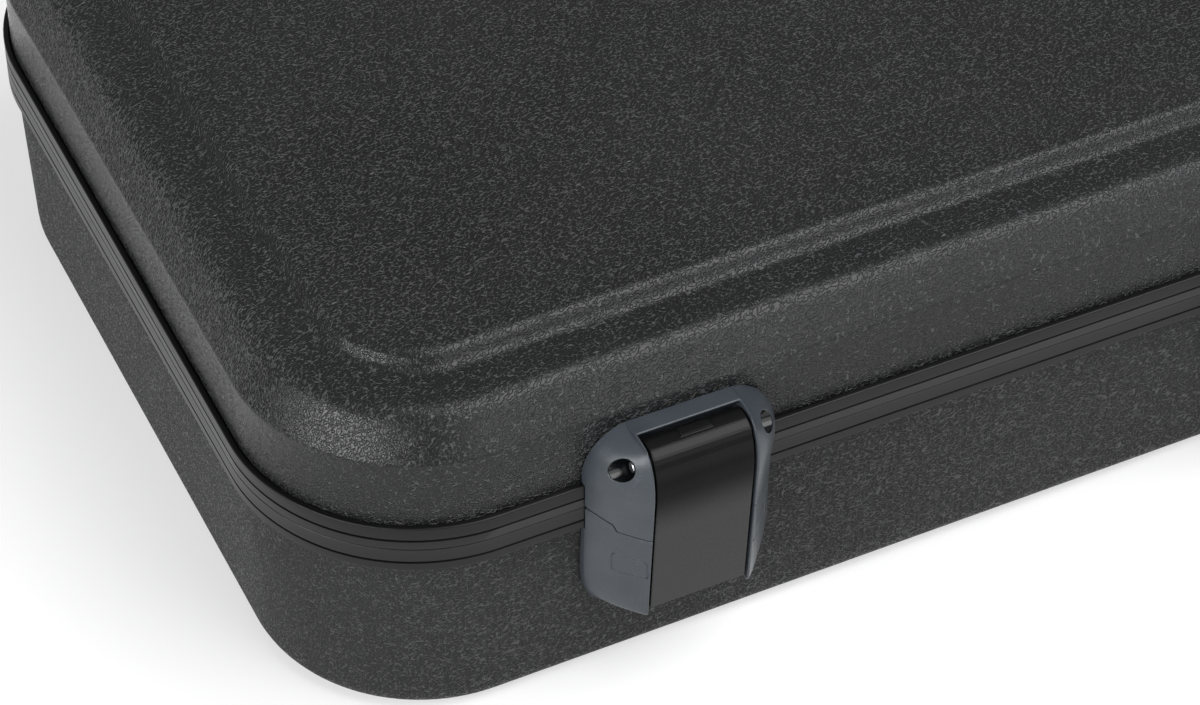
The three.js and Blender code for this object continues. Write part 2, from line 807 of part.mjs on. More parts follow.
// Hinges. Each is drawn about the point of the seam on the frame's rear face.
function leafOutline(side, frameEdge, wallInset) {
  const near = clearance;
  const face = near + leafThickness;
  const start = knuckleRadius + 2 * clearance;
  const points = [
    [near, start],
    [near, frameEdge + clearance],
    [near - wallSetback, frameEdge + clearance],
    [near - wallInset, start + leafHeight],
    [face, start + leafHeight],
    [face, start],
  ];
  return points.map(([depth, rise]) => [depth, rise * side]);
}

function knuckle(side, fromX, toX) {
  const armBack = 2 * clearance;
  const arm = [
    [armBack, 0],
    [armBack, leafArmHeight * side],
    [clearance + leafThickness, leafArmHeight * side],
    [clearance + leafThickness, 0],
  ];
  return rodAcross(knuckleRadius, fromX, toX, hingeAxisDepth, 0, 1)
    .add(extrudeAcross(arm, fromX, toX, 1));
}

function makeHinges() {
  const half = hingeWidth / 2;
  const middle = middleKnuckleWidth / 2;
  const start = knuckleRadius + 2 * clearance;
  const baseInset = baseWallInset(seamHeight - start - leafHeight);
  const bore = rodAcross(hingePinRadius + runningClearance, -half - overrun, half + overrun,
    hingeAxisDepth, 0, 1);
  const baseLeaf = extrudeAcross(leafOutline(-1, baseFrameDrop, baseInset), -half, half, 1)
    .add(knuckle(-1, -middle, middle))
    .subtract(bore);
  const lidLeaf = extrudeAcross(leafOutline(1, lidFrameRise, wallSetback), -half, half, 1)
    .add(knuckle(1, -half, -middle - clearance))
    .add(knuckle(1, middle + clearance, half))
    .subtract(bore);
  const pinHalf = half + hingePinShow;
  const pin = rodAcross(hingePinRadius, -pinHalf, pinHalf, hingeAxisDepth, 0, 1);
  [-hingeSpacing, 0, hingeSpacing].forEach((x, i) => {
    const place = new THREE.Vector3(x, rearY, seamHeight);
    addPiece(`hinge_${i + 1}_base_leaf`, toGeometry(baseLeaf), frameMetal, place);
    addPiece(`hinge_${i + 1}_lid_leaf`, toGeometry(lidLeaf), frameMetal, place);
    addPiece(`hinge_${i + 1}_pin`, toGeometry(pin), steel, place);
  });
}

// Carry handle on the front wall of the base, hanging down
function handleOutline() {
  const half = handleSpan / 2 - handleBevel;
  const inner = handleSpan / 2 - handleArmWidth + handleBevel;
  const top = handlePivotHeight + handleEndAbovePivot - handleBevel;
  const foot = handlePivotHeight - handleDrop + handleBevel;
  const sill = foot + handleGripHeight - 2 * handleBevel;
  const outerX = half - handleCornerRadius;
  const outerZ = foot + handleCornerRadius;
  const innerX = inner - handleWindowRadius;
  const innerZ = sill + handleWindowRadius;
  const steps = handleCurveSegments;
  return [
    [-half, top],
    ...arc(-outerX, outerZ, handleCornerRadius, Math.PI, Math.PI * 1.5, steps),
    ...arc(outerX, outerZ, handleCornerRadius, Math.PI * 1.5, Math.PI * 2, steps),
    [half, top],
    [inner, top],
    ...arc(innerX, innerZ, handleWindowRadius, 0, -Math.PI / 2, steps),
    ...arc(-innerX, innerZ, handleWindowRadius, -Math.PI / 2, -Math.PI, steps),
    [-inner, top],
  ];
}

function makeHandle() {
  const shape = new THREE.Shape(handleOutline().map(([x, z]) => new THREE.Vector2(x, z)));
  const geometry = new THREE.ExtrudeGeometry(shape, {
    depth: handleThickness - 2 * handleBevel,
    bevelThickness: handleBevel,
    bevelSize: handleBevel,
    bevelSegments: handleBevelSegments,
    steps: 1,
  });
  const front = frontY - handlePivotDepth - handleThickness / 2 + handleBevel;
  geometry.rotateX(Math.PI / 2);
  geometry.translate(0, front + handleThickness - 2 * handleBevel, 0);
  const half = handleSpan / 2;
  const bore = handlePinRadius + runningClearance;
  const depth = handlePivotDepth - frontY;
  const hole = rodAcross(bore, -half - overrun, half + overrun, depth, handlePivotHeight);
  addPiece("handle_grip", toGeometry(toSolid(geometry).subtract(hole)), rubber);
}

function bracketOutline() {
  const top = handlePivotHeight + bracketBossRadius + bracketMargin;
  const foot = handlePivotHeight - bracketBossRadius - bracketMargin;
  const boss = arc(handlePivotDepth, handlePivotHeight, bracketBossRadius, -Math.PI / 2, Math.PI / 2,
    cornerSegments);
  const outline = [
    [clearance - baseWallInset(foot), foot],
    [bracketFaceDepth, foot],
    ...boss,
    [bracketFaceDepth, top],
    [clearance - baseWallInset(top), top],
  ];
  return outline.map(([depth, height]) => [depth - frontY, height]);
}

function makeHandleMounts() {
  const inner = handleSpan / 2 + clearance;
  const outer = inner + bracketWidth;
  const depth = handlePivotDepth - frontY;
  const bore = rodAcross(handlePinRadius + runningClearance, -outer - overrun, outer + overrun,
    depth, handlePivotHeight);
  const pinFrom = handleSpan / 2 - handleArmWidth + clearance;
  const pinTo = outer + handlePinShow;
  for (const [side, sign] of [["left", -1], ["right", 1]]) {
    const [low, high] = [inner * sign, outer * sign].sort((a, b) => a - b);
    const bracket = extrudeAcross(bracketOutline(), low, high).subtract(bore);
    addPiece(`handle_bracket_${side}`, toGeometry(bracket), bumperPlastic);
    const [pinLow, pinHigh] = [pinFrom * sign, pinTo * sign].sort((a, b) => a - b);
    const pin = rodAcross(handlePinRadius, pinLow, pinHigh, depth, handlePivotHeight);
    addPiece(`handle_pin_${side}`, toGeometry(pin), steel);
  }
}

makeBaseShell();
makeLidShell();
makeBaseFrame();
makeLidFrame();
makeGasket();
makeFoamBed();
makeNeckRest();
makeLidPad();
makeLatches();
makeHinges();
makeHandle();
makeHandleMounts();

export default model;
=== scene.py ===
# Molded guitar case: the finished surfaces of every piece, built round the fixed frame.
# Metres, Z up. X runs along the case, and -Y points to the side with the latches and the handle.
from math import cos, hypot, pi, radians, sin, tan

import bpy
import numpy as np
from mathutils import Matrix, Vector


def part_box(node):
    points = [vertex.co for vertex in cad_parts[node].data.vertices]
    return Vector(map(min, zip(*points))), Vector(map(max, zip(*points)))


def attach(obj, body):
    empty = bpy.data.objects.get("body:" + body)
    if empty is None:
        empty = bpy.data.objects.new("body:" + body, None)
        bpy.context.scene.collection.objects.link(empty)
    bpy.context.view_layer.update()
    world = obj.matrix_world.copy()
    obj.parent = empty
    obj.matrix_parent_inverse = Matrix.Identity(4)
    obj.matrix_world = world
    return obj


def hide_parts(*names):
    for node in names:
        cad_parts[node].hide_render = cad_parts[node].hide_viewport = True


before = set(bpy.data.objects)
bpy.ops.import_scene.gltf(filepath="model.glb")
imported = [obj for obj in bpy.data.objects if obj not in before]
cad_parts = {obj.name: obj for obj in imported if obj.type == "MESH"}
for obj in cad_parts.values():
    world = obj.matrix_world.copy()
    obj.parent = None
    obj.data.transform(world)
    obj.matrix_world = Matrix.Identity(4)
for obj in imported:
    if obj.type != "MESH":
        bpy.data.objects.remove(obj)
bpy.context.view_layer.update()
scene = bpy.context.scene
quarter = pi / 2

# Sizes taken from the frame
half_length, half_width, lid_frame_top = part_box("lid_frame")[1]
seam_gap = 0.0003
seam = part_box("base_frame")[1].z + seam_gap / 2
base_frame_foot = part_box("base_frame")[0].z
base_wall_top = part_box("base_shell")[1].z
lid_wall_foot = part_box("lid_shell")[0].z
foam_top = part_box("foam_bed")[1].z
latch_places = [sum(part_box(f"latch_{i}_lever"), Vector()).x / 2 for i in (1, 2, 3, 4)]
hinge_places = [sum(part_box(f"hinge_{i}_pin"), Vector()).x / 2 for i in (1, 2, 3)]

# Fineness of lofts and solids
corner_steps = 28
fillet_steps = 6
fillet_room_share = 0.49
sharp_angle = radians(32)
settling_rounds = 3
slope_step_share = 0.2
least_slope_square = 0.1

# Clearances and edge roundings
clearance = 0.0003
overrun = 0.006
hair_edge = 0.0001
bore_edge = 0.0002
fine_edge = 0.0003
eased_edge = 0.0004
soft_edge = 0.0006
full_edge = 0.001

# The case's plan outline and shells
corner_radius = 0.072
shell_thickness = 0.003
wall_setback = 0.0027
base_draft = 0.0022
base_edge_radius = 0.011
crease_inset = 0.003
crease_height = seam + 0.0384
shoulder_width = 0.0118
shoulder_height = 0.0155
ledge_width = 0.0187
panel_step_width = 0.0035
panel_step_height = 0.006
crease_radius = 0.0025
shoulder_radius = 0.0105
step_radius = 0.006

# Edge frames
flange = 0.0024
web = 0.0018
reach = 0.0104
lip_radius = 0.0007
groove_depth = 0.0008
groove_half_width = 0.00055
lid_groove_rise = 0.00445
base_groove_drop = 0.00635
channel_depth = 0.0035
channel_wall = 0.0018
channel_inset = 0.0034
tongue_width = 0.0028
tongue_depth = 0.0015
seam_bevel = 0.0002

# Latch housings, from the point of the seam on the frame's face
latch_half_width = 0.0368
latch_shoulder_radius = 0.02
latch_top_fall = 0.0017
latch_rim = 0.0006
latch_core_run = 0.003
latch_rise = 0.0352
latch_drop = 0.0465
latch_depth = 0.0215
latch_lip_depth = 0.0064
latch_low_depth = 0.0187
full_depth_rise = 0.014
foot_height = 0.014
foot_half_width = 0.0334
foot_rounding = 0.002
top_curve = 2.6
low_cheek_curve = 1.16
high_cheek_curve = 1.5
cheek_turn_drop = 0.005
cheek_turn_rise = 0.02
window_half_width = 0.0198
plate = 0.0018
window_slope_rise = 0.028
window_lip = 0.0005
rim_radius = 0.0009
split_outer_rise = 0.001
split_outer_fall = 0.0023
split_step_fall = 0.0053
split_step_outer = 0.0304
split_step_inner = 0.0292
split_gap = 0.0004
notch_depth = 0.0016
patch_depth = 0.0141
patch_rise = -0.0214
patch_half_depth = 0.0049
patch_half_rise = 0.0044
patch_corner = 0.0012
patch_line_depth = 0.00045
patch_line_half_width = 0.00022
above_latch = latch_rise + overrun
below_latch = -latch_drop - overrun
level_step = 0.0001
least_level_slope = 15
box_margin = 0.001

# Lever, pins, hook and catch
pivot_depth = 0.0115
pivot_rise = 0.0255
pivot = (pivot_depth, pivot_rise)
pivot_radius = 0.002
pocket_radius = 0.004
pivot_wall = 0.0028
pivot_pin_end = 0.002
lever_gap = 0.0008
lever_flush = 0.0006
lever_thickness = 0.003
lever_web = 0.003
lever_drop = 0.043
lever_barrel = 0.0083
lever_bend_run = 0.002
lever_hollow_edge = 0.0005
lever_tab_radius = 0.0089
lever_tab_half_width = 0.006
lever_tab_front = 0.001
lever_tab_back = 0.0035
lever_ear_radius = 0.0044
lever_web_foot = 0.03
hook_pin_depth = 0.012
hook_pin_drop = 0.009
hook_pivot = (hook_pin_depth, -hook_pin_drop)
hook_pin_radius = 0.002
hook_half_width = 0.009
hook_boss_radius = 0.004
hook_shank = 0.004
hook_drop = 0.027
claw_height = 0.0035
claw_gap = 0.0004
catch_half_width = 0.011
catch_thickness = 0.0016
catch_reach = 0.0046
catch_lip = 0.0018
catch_rise = 0.003
catch_drop = 0.013
catch_back = 2 * clearance + plate

# Hinges, from the point of the seam on the frame's rear face
hinge_half_width = 0.032
hinge_axis_depth = 0.005
hinge_axis = (hinge_axis_depth, 0)
knuckle_radius = 0.004
knuckle_fillet = 0.0008
hinge_pin_radius = 0.00175
leaf_start = knuckle_radius + 2 * clearance
leaf_thickness = 0.0024
leaf_height = 0.03
leaf_end = leaf_start + leaf_height
leaf_arm = 0.006
leaf_corner = 0.006
middle_knuckle_half = 0.0157
rivet_radius = 0.0031
rivet_height = 0.0011
rivet_spread = 0.68
rivet_rise_share = 0.62

# Carry handle
handle_half_span = 0.062
handle_arm_width = 0.016
handle_thickness = 0.013
handle_grip_height = 0.021
handle_drop = 0.052
handle_end_rise = 0.008
handle_corner = 0.02
handle_window_corner = 0.01
handle_rounding = 0.0045
handle_pivot_depth = 0.009
handle_pivot_height = 0.062
handle_pivot = (handle_pivot_depth, handle_pivot_height)
handle_pin_radius = 0.0025
bracket_width = 0.014
bracket_face = 0.0022
bracket_back = 0.004
bracket_boss = 0.007
bracket_margin = 0.007

# Foam bed
body_length = 0.43
body_width = 0.33
body_depth = 0.055
body_end_wall = 0.014
neck_width = 0.08
neck_depth = 0.041
neck_corner = 0.003
head_width = 0.12
head_length = 0.205
head_end_wall = 0.024
well_length = 0.28
well_width = 0.092
well_depth = 0.064
well_wall = 0.018
pocket_corner = 0.012
neck_rest_length = 0.045
neck_rest_height = 0.024
neck_saddle_radius = 0.026
neck_rest_from_head = 0.06
neck_rest_corner = 0.004
neck_rest_side_edge = 0.003
pad_crown = 0.003
pad_crown_run = 0.04
pad_rim = 0.005
plush_radius = 0.007
body_outline_shares = [
    (0, 0), (0.03, 0.55), (0.13, 0.88), (0.28, 1), (0.44, 0.9), (0.57, 0.77),
    (0.7, 0.79), (0.84, 0.86), (0.95, 0.7), (1, 0.35), (1, 0),
]

# The shell's grain, and the heights between which its base walls are scuffed
grain_turn = radians(21)
grain_stretch = (1.7, 0.92, 1.0)
scuff_foot = seam - 0.02
scuff_top = seam + 0.01

# Floor, background and light. Softboxes: way from the lit point, size and power.
floor_half_size = 9.0
floor_tone = 0.46
floor_lift = 0.46
horizon_height = 0.02
horizon_strength = 1.0
sky_strength = 0.28
lit_point = Vector((-0.42, -0.12, 0.13))
softboxes = {
    "key": ((-1.66, -0.72, 0.84), (1.8, 0.6), 38),
    "overhead": ((0.64, -0.70, 1.76), (1.5, 1.3), 36),
    "front": ((0.70, -1.64, 0.90), (1.6, 1.0), 12),
}

# Camera, fitted to the photograph of 1200 by 705 pixels
camera_azimuth = radians(26.407)
camera_elevation = radians(44.4392)
camera_roll = radians(0.8692)
camera_target = Vector((-0.40132, -0.13538, 0.11154))
camera_distance = 1.3354
focal_pixels = 3742.9
picture_width = 1200
sensor_width = 36


# Lofted rings: the shells, frames and gasket
def arc(centre, radius, start, end, steps):
    angles = [start + (end - start) * k / steps for k in range(steps + 1)]
    return [(centre[0] + radius * cos(a), centre[1] + radius * sin(a)) for a in angles]


def circle(radius, steps):
    return arc((0, 0), radius, 0, 2 * pi, steps)[:-1]


def filleted(points, radii):
    """An open outline whose inner corners are rounded, one radius to a corner."""
    result = [points[0]]
    for before, point, after, radius in zip(points, points[1:], points[2:], radii):
        point = Vector(point)
        back, ahead = Vector(before) - point, Vector(after) - point
        half_angle = back.normalized().angle(ahead.normalized()) / 2
        room = min(back.length, ahead.length) * fillet_room_share
        run = min(radius / tan(half_angle), room)
        start = point + back.normalized() * run
        end = point + ahead.normalized() * run
        for k in range(fillet_steps + 1):
            share = k / fillet_steps
            result.append(tuple(start.lerp(point, share).lerp(point.lerp(end, share), share)))
    return result + [points[-1]]


def case_ring(inset, height):
    radius = corner_radius - inset
    x = half_length - inset - radius
    y = half_width - inset - radius
    ring = []
    for index, centre in enumerate([(x, y), (-x, y), (-x, -y), (x, -y)]):
        start = index * quarter
        corner = arc(centre, radius, start, start + quarter, corner_steps)
        ring += [(*point, height) for point in corner]
    return ring


def new_object(name, data, place=(0, 0, 0)):
    made = bpy.data.objects.new(name, data)
    made.location = place
    scene.collection.objects.link(made)
    return made


def mesh_object(name, points, faces):
    mesh = bpy.data.meshes.new(name)
    mesh.from_pydata(points, [], faces)
    mesh.validate()
    return new_object(name, mesh)


def loft(name, rings, looped=False):
    count = len(rings[0])
    points = [point for ring in rings for point in ring]
    spans = len(rings) if looped else len(rings) - 1
    faces = []
    for span in range(spans):
        near = span * count
        far = (span + 1) % len(rings) * count
        for j in range(count):
            k = (j + 1) % count
            faces.append((near + j, near + k, far + k, far + j))
    if not looped:
        last = (len(rings) - 1) * count
        faces.append(tuple(reversed(range(count))))
        faces.append(tuple(range(last, last + count)))
    piece = mesh_object(name, points, faces)
    outward(piece)
    piece.data.shade_smooth()
    piece.data.set_sharp_from_angle(angle=sharp_angle)
    return piece


def outward(piece):
    corners = np.array([v.co for v in piece.data.vertices])
    volume = 0
    for face in piece.data.polygons:
        first, *others = (corners[i] for i in face.vertices)
        for a, b in zip(others, others[1:]):
            volume += np.dot(first, np.cross(a, b))
    if volume < 0:
        piece.data.flip_normals()


# Solids from signed distances, negative inside. Edges are rounded where two fields meet.
def meet(a, b, radius):
    """What lies in both, with the edge between them rounded."""
    u = np.maximum(a + radius, 0)
    v = np.maximum(b + radius, 0)
    return np.minimum(np.maximum(a, b), -radius) + np.sqrt(u * u + v * v)


def join(a, b, radius):
    """What lies in either, with the corner between them filled."""
    return -meet(-a, -b, radius)


def cut(a, b, radius):
    """What is left of the first when the second is cut away."""
    return meet(a, -b, radius)


def outline_distance(points, p, q):
    """Distance to a closed outline in a plane, negative inside it."""
    nearest = np.inf
    inside = False
    for (ax, ay), (bx, by) in zip(points, points[1:] + points[:1]):
        ex, ey = bx - ax, by - ay
        length = ex * ex + ey * ey
        share = np.clip(((p - ax) * ex + (q - ay) * ey) / length, 0, 1)
        nearest = np.minimum(nearest, (p - ax - ex * share) ** 2 + (q - ay - ey * share) ** 2)
        between = (ay > q) != (by > q)
        left = ((p - ax) * ey < ex * (q - ay)) == (ey > 0)
        inside = inside ^ (between & left)
    return np.where(inside, -1, 1) * np.sqrt(nearest)


def plate_distance(p, q, half_p, half_q, radius):
    """Distance to a rectangle with rounded corners."""
    u = np.abs(p) - half_p + radius
    v = np.abs(q) - half_q + radius
    return np.hypot(np.maximum(u, 0), np.maximum(v, 0)) + np.minimum(np.maximum(u, v), 0) - radius


def rod_distance(p, q, centre, radius):
    return np.hypot(p - centre[0], q - centre[1]) - radius


def bored(body, p, q, centre, radius, edge=bore_edge):
    return cut(body, rod_distance(p, q, centre, radius), edge)


def surface_cells(values):
    corners = list(np.ndindex(2, 2, 2))
    inside = values < 0
    sizes = [n - 1 for n in values.shape]
    number = np.zeros(sizes, np.int8)
    for i, j, k in corners:
        number += inside[i:sizes[0] + i, j:sizes[1] + j, k:sizes[2] + k]
    cells = np.argwhere((number > 0) & (number < 8))
    total = np.zeros((len(cells), 3))
    hits = np.zeros(len(cells))
    for corner in corners:
        for axis in range(3):
            if corner[axis]:
                continue
            along = np.eye(3, dtype=int)[axis]
            first = values[tuple((cells + corner).T)]
            second = values[tuple((cells + corner + along).T)]
            crossed = (first < 0) != (second < 0)
            share = first[crossed] / (first[crossed] - second[crossed])
            total[crossed] += corner + share[:, None] * along
            hits += crossed
    return cells, cells + total / hits[:, None]


def surface_faces(values, cells):
    inside = values < 0
    index = np.full([n - 1 for n in values.shape], -1)
    index[tuple(cells.T)] = np.arange(len(cells))
    faces = []
    for axis in range(3):
        low = np.take(inside, range(values.shape[axis] - 1), axis)
        high = np.take(inside, range(1, values.shape[axis]), axis)
        edges = np.argwhere(low != high)
        step_b, step_c = np.eye(3, dtype=int)[[(axis + 1) % 3, (axis + 2) % 3]]
        around = [edges, edges - step_b, edges - step_b - step_c, edges - step_c]
        quads = np.stack([index[tuple(cell.T)] for cell in around], -1)
        turned = ~low[tuple(edges.T)]
        quads[turned] = quads[turned][:, ::-1]
        faces.append(quads)
    return np.concatenate(faces)


def slopes_of(field, place, step):
    slopes = []
    for shift in np.eye(3) * step:
        ahead = field(*(p + s for p, s in zip(place, shift)))
        behind = field(*(p - s for p, s in zip(place, shift)))
        slopes.append((ahead - behind) / (2 * step))
    return slopes


def settled(points, field, pitch):
    """Each point moved onto the field's zero surface."""
    for _ in range(settling_rounds):
        value = field(*points.T)
        slope = np.stack(slopes_of(field, points.T, pitch * slope_step_share), -1)
        steepness = np.maximum((slope ** 2).sum(-1), least_slope_square)
        move = -(value / steepness)[:, None] * slope
        length = np.linalg.norm(move, axis=1, keepdims=True)
        points = points + move * np.minimum(1, pitch / 2 / np.maximum(length, 1e-12))
    return points


def solid(name, field, low, high, pitch, keep_share):
    """The field's zero surface as a piece, thinned to a share of its faces."""
    origin = np.array(low) - 2 * pitch
    counts = np.ceil((np.array(high) - origin) / pitch).astype(int) + 3
    grid = np.ix_(*(start + pitch * np.arange(n) for start, n in zip(origin, counts)))
    values = np.array(np.broadcast_to(field(*grid), counts))
    cells, places = surface_cells(values)
    points = settled(origin + places * pitch, field, pitch)
    piece = mesh_object(name, points.tolist(), surface_faces(values, cells).tolist())
    piece.modifiers.new("thinned", "DECIMATE").ratio = keep_share
    graph = bpy.context.evaluated_depsgraph_get()
    thinned = bpy.data.meshes.new_from_object(piece.evaluated_get(graph))
    piece.modifiers.clear()
    piece.data = thinned
    piece.data.shade_smooth()
    corners = np.array([corner.co for corner in piece.data.vertices])
    facing = np.stack(slopes_of(field, corners.T, pitch * slope_step_share), -1)
    facing /= np.maximum(np.linalg.norm(facing, axis=1, keepdims=True), 1e-9)
    piece.data.normals_split_custom_set_from_vertices(facing.tolist())
    return piece


# Materials
def new_material(name, look):
    """A material whose look gives the shader's inputs for a place on the piece."""
    material = bpy.data.materials.new(name)
    material.use_nodes = True
    tree = material.node_tree
    place = node(tree, "TexCoord").outputs["Object"]
    connect(tree, tree.nodes["Principled BSDF"], look(tree, place))
    return material


def connect(tree, made, inputs):
    """Each input linked to a socket or set to a value."""
    for key, value in inputs.items():
        if isinstance(value, bpy.types.NodeSocket):
            tree.links.new(value, made.inputs[key])
        else:
            made.inputs[key].default_value = value


def node(tree, kind, inputs=None, **settings):
    made = tree.nodes.new("ShaderNode" + kind)
    for key, value in settings.items():
        setattr(made, key, value)
    connect(tree, made, inputs or {})
    return made


def maths(tree, operation, *values):
    return node(tree, "Math", dict(enumerate(values)), operation=operation).outputs[0]


def weighted(tree, first, first_share, second, second_share):
    scaled = maths(tree, "MULTIPLY", second, second_share)
    return maths(tree, "MULTIPLY_ADD", first, first_share, scaled)


def noise(tree, place, scale, detail=2.0, roughness=0.5):
    inputs = {"Vector": place, "Scale": scale, "Detail": detail, "Roughness": roughness}
    return node(tree, "TexNoise", inputs, noise_type="FBM").outputs[0]


def streaked(tree, place, scales):
    """Noise drawn out along the axes that have a small scale."""
    drawn = node(tree, "Mapping", {"Vector": place, "Scale": scales}).outputs[0]
    return noise(tree, drawn, scale=1.0, detail=3.0, roughness=0.6)


def ramp(tree, value, from_value, to_value, low=0.3, high=0.7):
    """A smooth change between two values over a noise's usual range or another."""
    inputs = {"Value": value, "From Min": low, "From Max": high,
              "To Min": from_value, "To Max": to_value}
    return node(tree, "MapRange", inputs, interpolation_type="SMOOTHSTEP").outputs[0]


def mixed(tree, share, first, second):
    """A colour between two, each a socket or a tuple."""
    first, second = ((*c, 1) if isinstance(c, tuple) else c for c in (first, second))
    inputs = {0: share, 6: first, 7: second}
    return node(tree, "Mix", inputs, data_type="RGBA").outputs[2]


def bumped(tree, height, distance, strength=1.0):
    inputs = {"Height": height, "Distance": distance, "Strength": strength}
    return node(tree, "Bump", inputs).outputs[0]


def height_of(tree, place):
    return node(tree, "SeparateXYZ", {"Vector": place}).outputs["Z"]


def worn_and_highlit_edges(tree):
    """A share near 1 on sharp outer edges, where the colour is lightened as wear and as painted
    highlight.
    """
    pointiness = node(tree, "NewGeometry").outputs["Pointiness"]
    return ramp(tree, pointiness, 0.0, 1.0, 0.53, 0.62)


def shell_look(tree, place):
    """Pebble grain drawn out along one direction. The base is more matt than the lid, and its
    grain's raised threads are rubbed smooth."""
    turned = {"Vector": place, "Rotation": (0, 0, grain_turn), "Scale": grain_stretch}
    drawn = node(tree, "Mapping", turned, vector_type="TEXTURE").outputs[0]
    swirl = noise(tree, drawn, scale=830.0, detail=0.0)
    offset = maths(tree, "ABSOLUTE", maths(tree, "SUBTRACT", swirl, 0.5))
    threads = ramp(tree, offset, 1.0, 0.0, 0.0, 0.10)
    ripple = noise(tree, drawn, scale=2300.0, detail=0.0, roughness=0.6)
    mottle = noise(tree, place, scale=9.0, detail=3.0)
    # The colour is darker in the grain's valleys than on its raised threads: partly the grain's
    # own tone, partly painted shade in the valleys.
    tone = weighted(tree, mottle, 0.25, threads, 0.75)
    height = maths(tree, "MULTIPLY_ADD", ripple, 0.3, threads)
    rise = height_of(tree, place)
    scuffed = ramp(tree, rise, 0.68, 0.13, scuff_foot, scuff_top)
    rubbed = ramp(tree, rise, -0.44, 0.0, scuff_foot, scuff_top)
    matt = maths(tree, "MULTIPLY_ADD", threads, rubbed, scuffed)
    return {
        "Base Color": mixed(tree, tone, (0.005, 0.0051, 0.0052), (0.056, 0.0572, 0.0592)),
        "Specular IOR Level": 0.28,
        "Roughness": maths(tree, "MULTIPLY_ADD", ripple, 0.1, matt),
        "Normal": bumped(tree, height, distance=0.0004),
    }


def frame_look(tree, place):
    streaks = streaked(tree, place, (12.0, 12.0, 900.0))
    grain = noise(tree, place, scale=2600.0)
    height = maths(tree, "MULTIPLY_ADD", grain, 0.35, streaks)
    # Sharp edges of the frame are lighter, as wear and as painted highlight.
    edge_rub_and_highlight = maths(tree, "MULTIPLY", worn_and_highlit_edges(tree), 0.35)
    return {
        "Base Color": mixed(tree, edge_rub_and_highlight, (0.004, 0.004, 0.0041), (0.05, 0.05, 0.051)),
        "Specular IOR Level": 0.24,
        "Roughness": ramp(tree, streaks, 0.3, 0.42),
        "Normal": bumped(tree, height, distance=0.00002, strength=0.5),
    }


def bumper_look(tree, place):
    spark = noise(tree, place, scale=3200.0, detail=3.0, roughness=0.6)
    cloud = noise(tree, place, scale=60.0, detail=3.0)
    # Sharp edges are lighter, as wear and as painted highlight, besides a random cloudy tone.
    tone = weighted(tree, worn_and_highlit_edges(tree), 0.2, cloud, 0.45)
    outside = mixed(tree, tone, (0.026, 0.032, 0.039), (0.088, 0.101, 0.116))
    pocket = pocket_shade_share(tree, place)
    matt = ramp(tree, spark, 0.26, 0.38)
    return {
        # Inside the pivot pockets the colour goes near black as painted shade, and the finish is
        # smoother.
        "Base Color": mixed(tree, pocket, outside, (0.004, 0.005, 0.006)),
        "Specular IOR Level": 0.34,
        "Roughness": maths(tree, "MULTIPLY", matt, ramp(tree, pocket, 1.0, 0.5, 0.0, 1.0)),
        "Normal": bumped(tree, spark, distance=0.00003, strength=0.5),
    }


def pocket_shade_share(tree, place):
    """A share of 1 inside the round pockets over the pivot pin, where they are darkened as painted
    shade, and 0 elsewhere.
    """
    apart = node(tree, "SeparateXYZ", {"Vector": place})
    out = maths(tree, "ADD", apart.outputs["Y"], pivot_depth)
    rise = maths(tree, "SUBTRACT", apart.outputs["Z"], pivot_rise)
    squares = maths(tree, "MULTIPLY_ADD", out, out, maths(tree, "MULTIPLY", rise, rise))
    rim, beyond = pocket_radius + hair_edge, pocket_radius + fine_edge
    return ramp(tree, maths(tree, "SQRT", squares), 1.0, 0.0, rim, beyond)


def lever_look(tree, place):
    """Satin plastic that shines less towards its bend."""
    spark = noise(tree, place, scale=2400.0, detail=3.0, roughness=0.65)
    cloud = noise(tree, place, scale=45.0)
    # Sharp edges are lighter, as wear and as painted highlight.
    tone = weighted(tree, worn_and_highlit_edges(tree), 0.7, cloud, 0.3)
    rise = height_of(tree, place)
    low_shine = ramp(tree, rise, 0.37, 0.06, -0.005, 0.015)
    bend_shine = ramp(tree, rise, 0.0, 0.08, 0.021, 0.027)
    # The export drops the specular level's link and keeps this value.
    tree.nodes["Principled BSDF"].inputs["Specular IOR Level"].default_value = 0.3
    return {
        "Base Color": mixed(tree, tone, (0.003, 0.003, 0.0031), (0.016, 0.016, 0.0163)),
        "Specular IOR Level": maths(tree, "ADD", low_shine, bend_shine),
        "Roughness": ramp(tree, spark, 0.2, 0.3),
        "Normal": bumped(tree, spark, distance=0.00004, strength=0.6),
    }


def steel_look(tree, place):
    streaks = streaked(tree, place, (40.0, 900.0, 900.0))
    bloom = noise(tree, place, scale=110.0, detail=3.0)
    return {
        "Base Color": mixed(tree, bloom, (0.42, 0.43, 0.45), (0.66, 0.67, 0.68)),
        "Metallic": 1.0,
        "Roughness": ramp(tree, bloom, 0.24, 0.4),
        "Normal": bumped(tree, streaks, distance=0.00001, strength=0.4),
    }


def rubber_look(tree, place):
    grain = noise(tree, place, scale=1500.0, detail=3.0, roughness=0.6)
    cloud = noise(tree, place, scale=40.0)
    # Sharp edges are lighter, as wear and as painted highlight.
    tone = weighted(tree, worn_and_highlit_edges(tree), 0.4, cloud, 0.5)
    return {
        "Base Color": mixed(tree, tone, (0.011, 0.011, 0.0112), (0.03, 0.03, 0.0305)),
        "Roughness": ramp(tree, grain, 0.55, 0.72),
        "Normal": bumped(tree, grain, distance=0.00006, strength=0.7),
    }


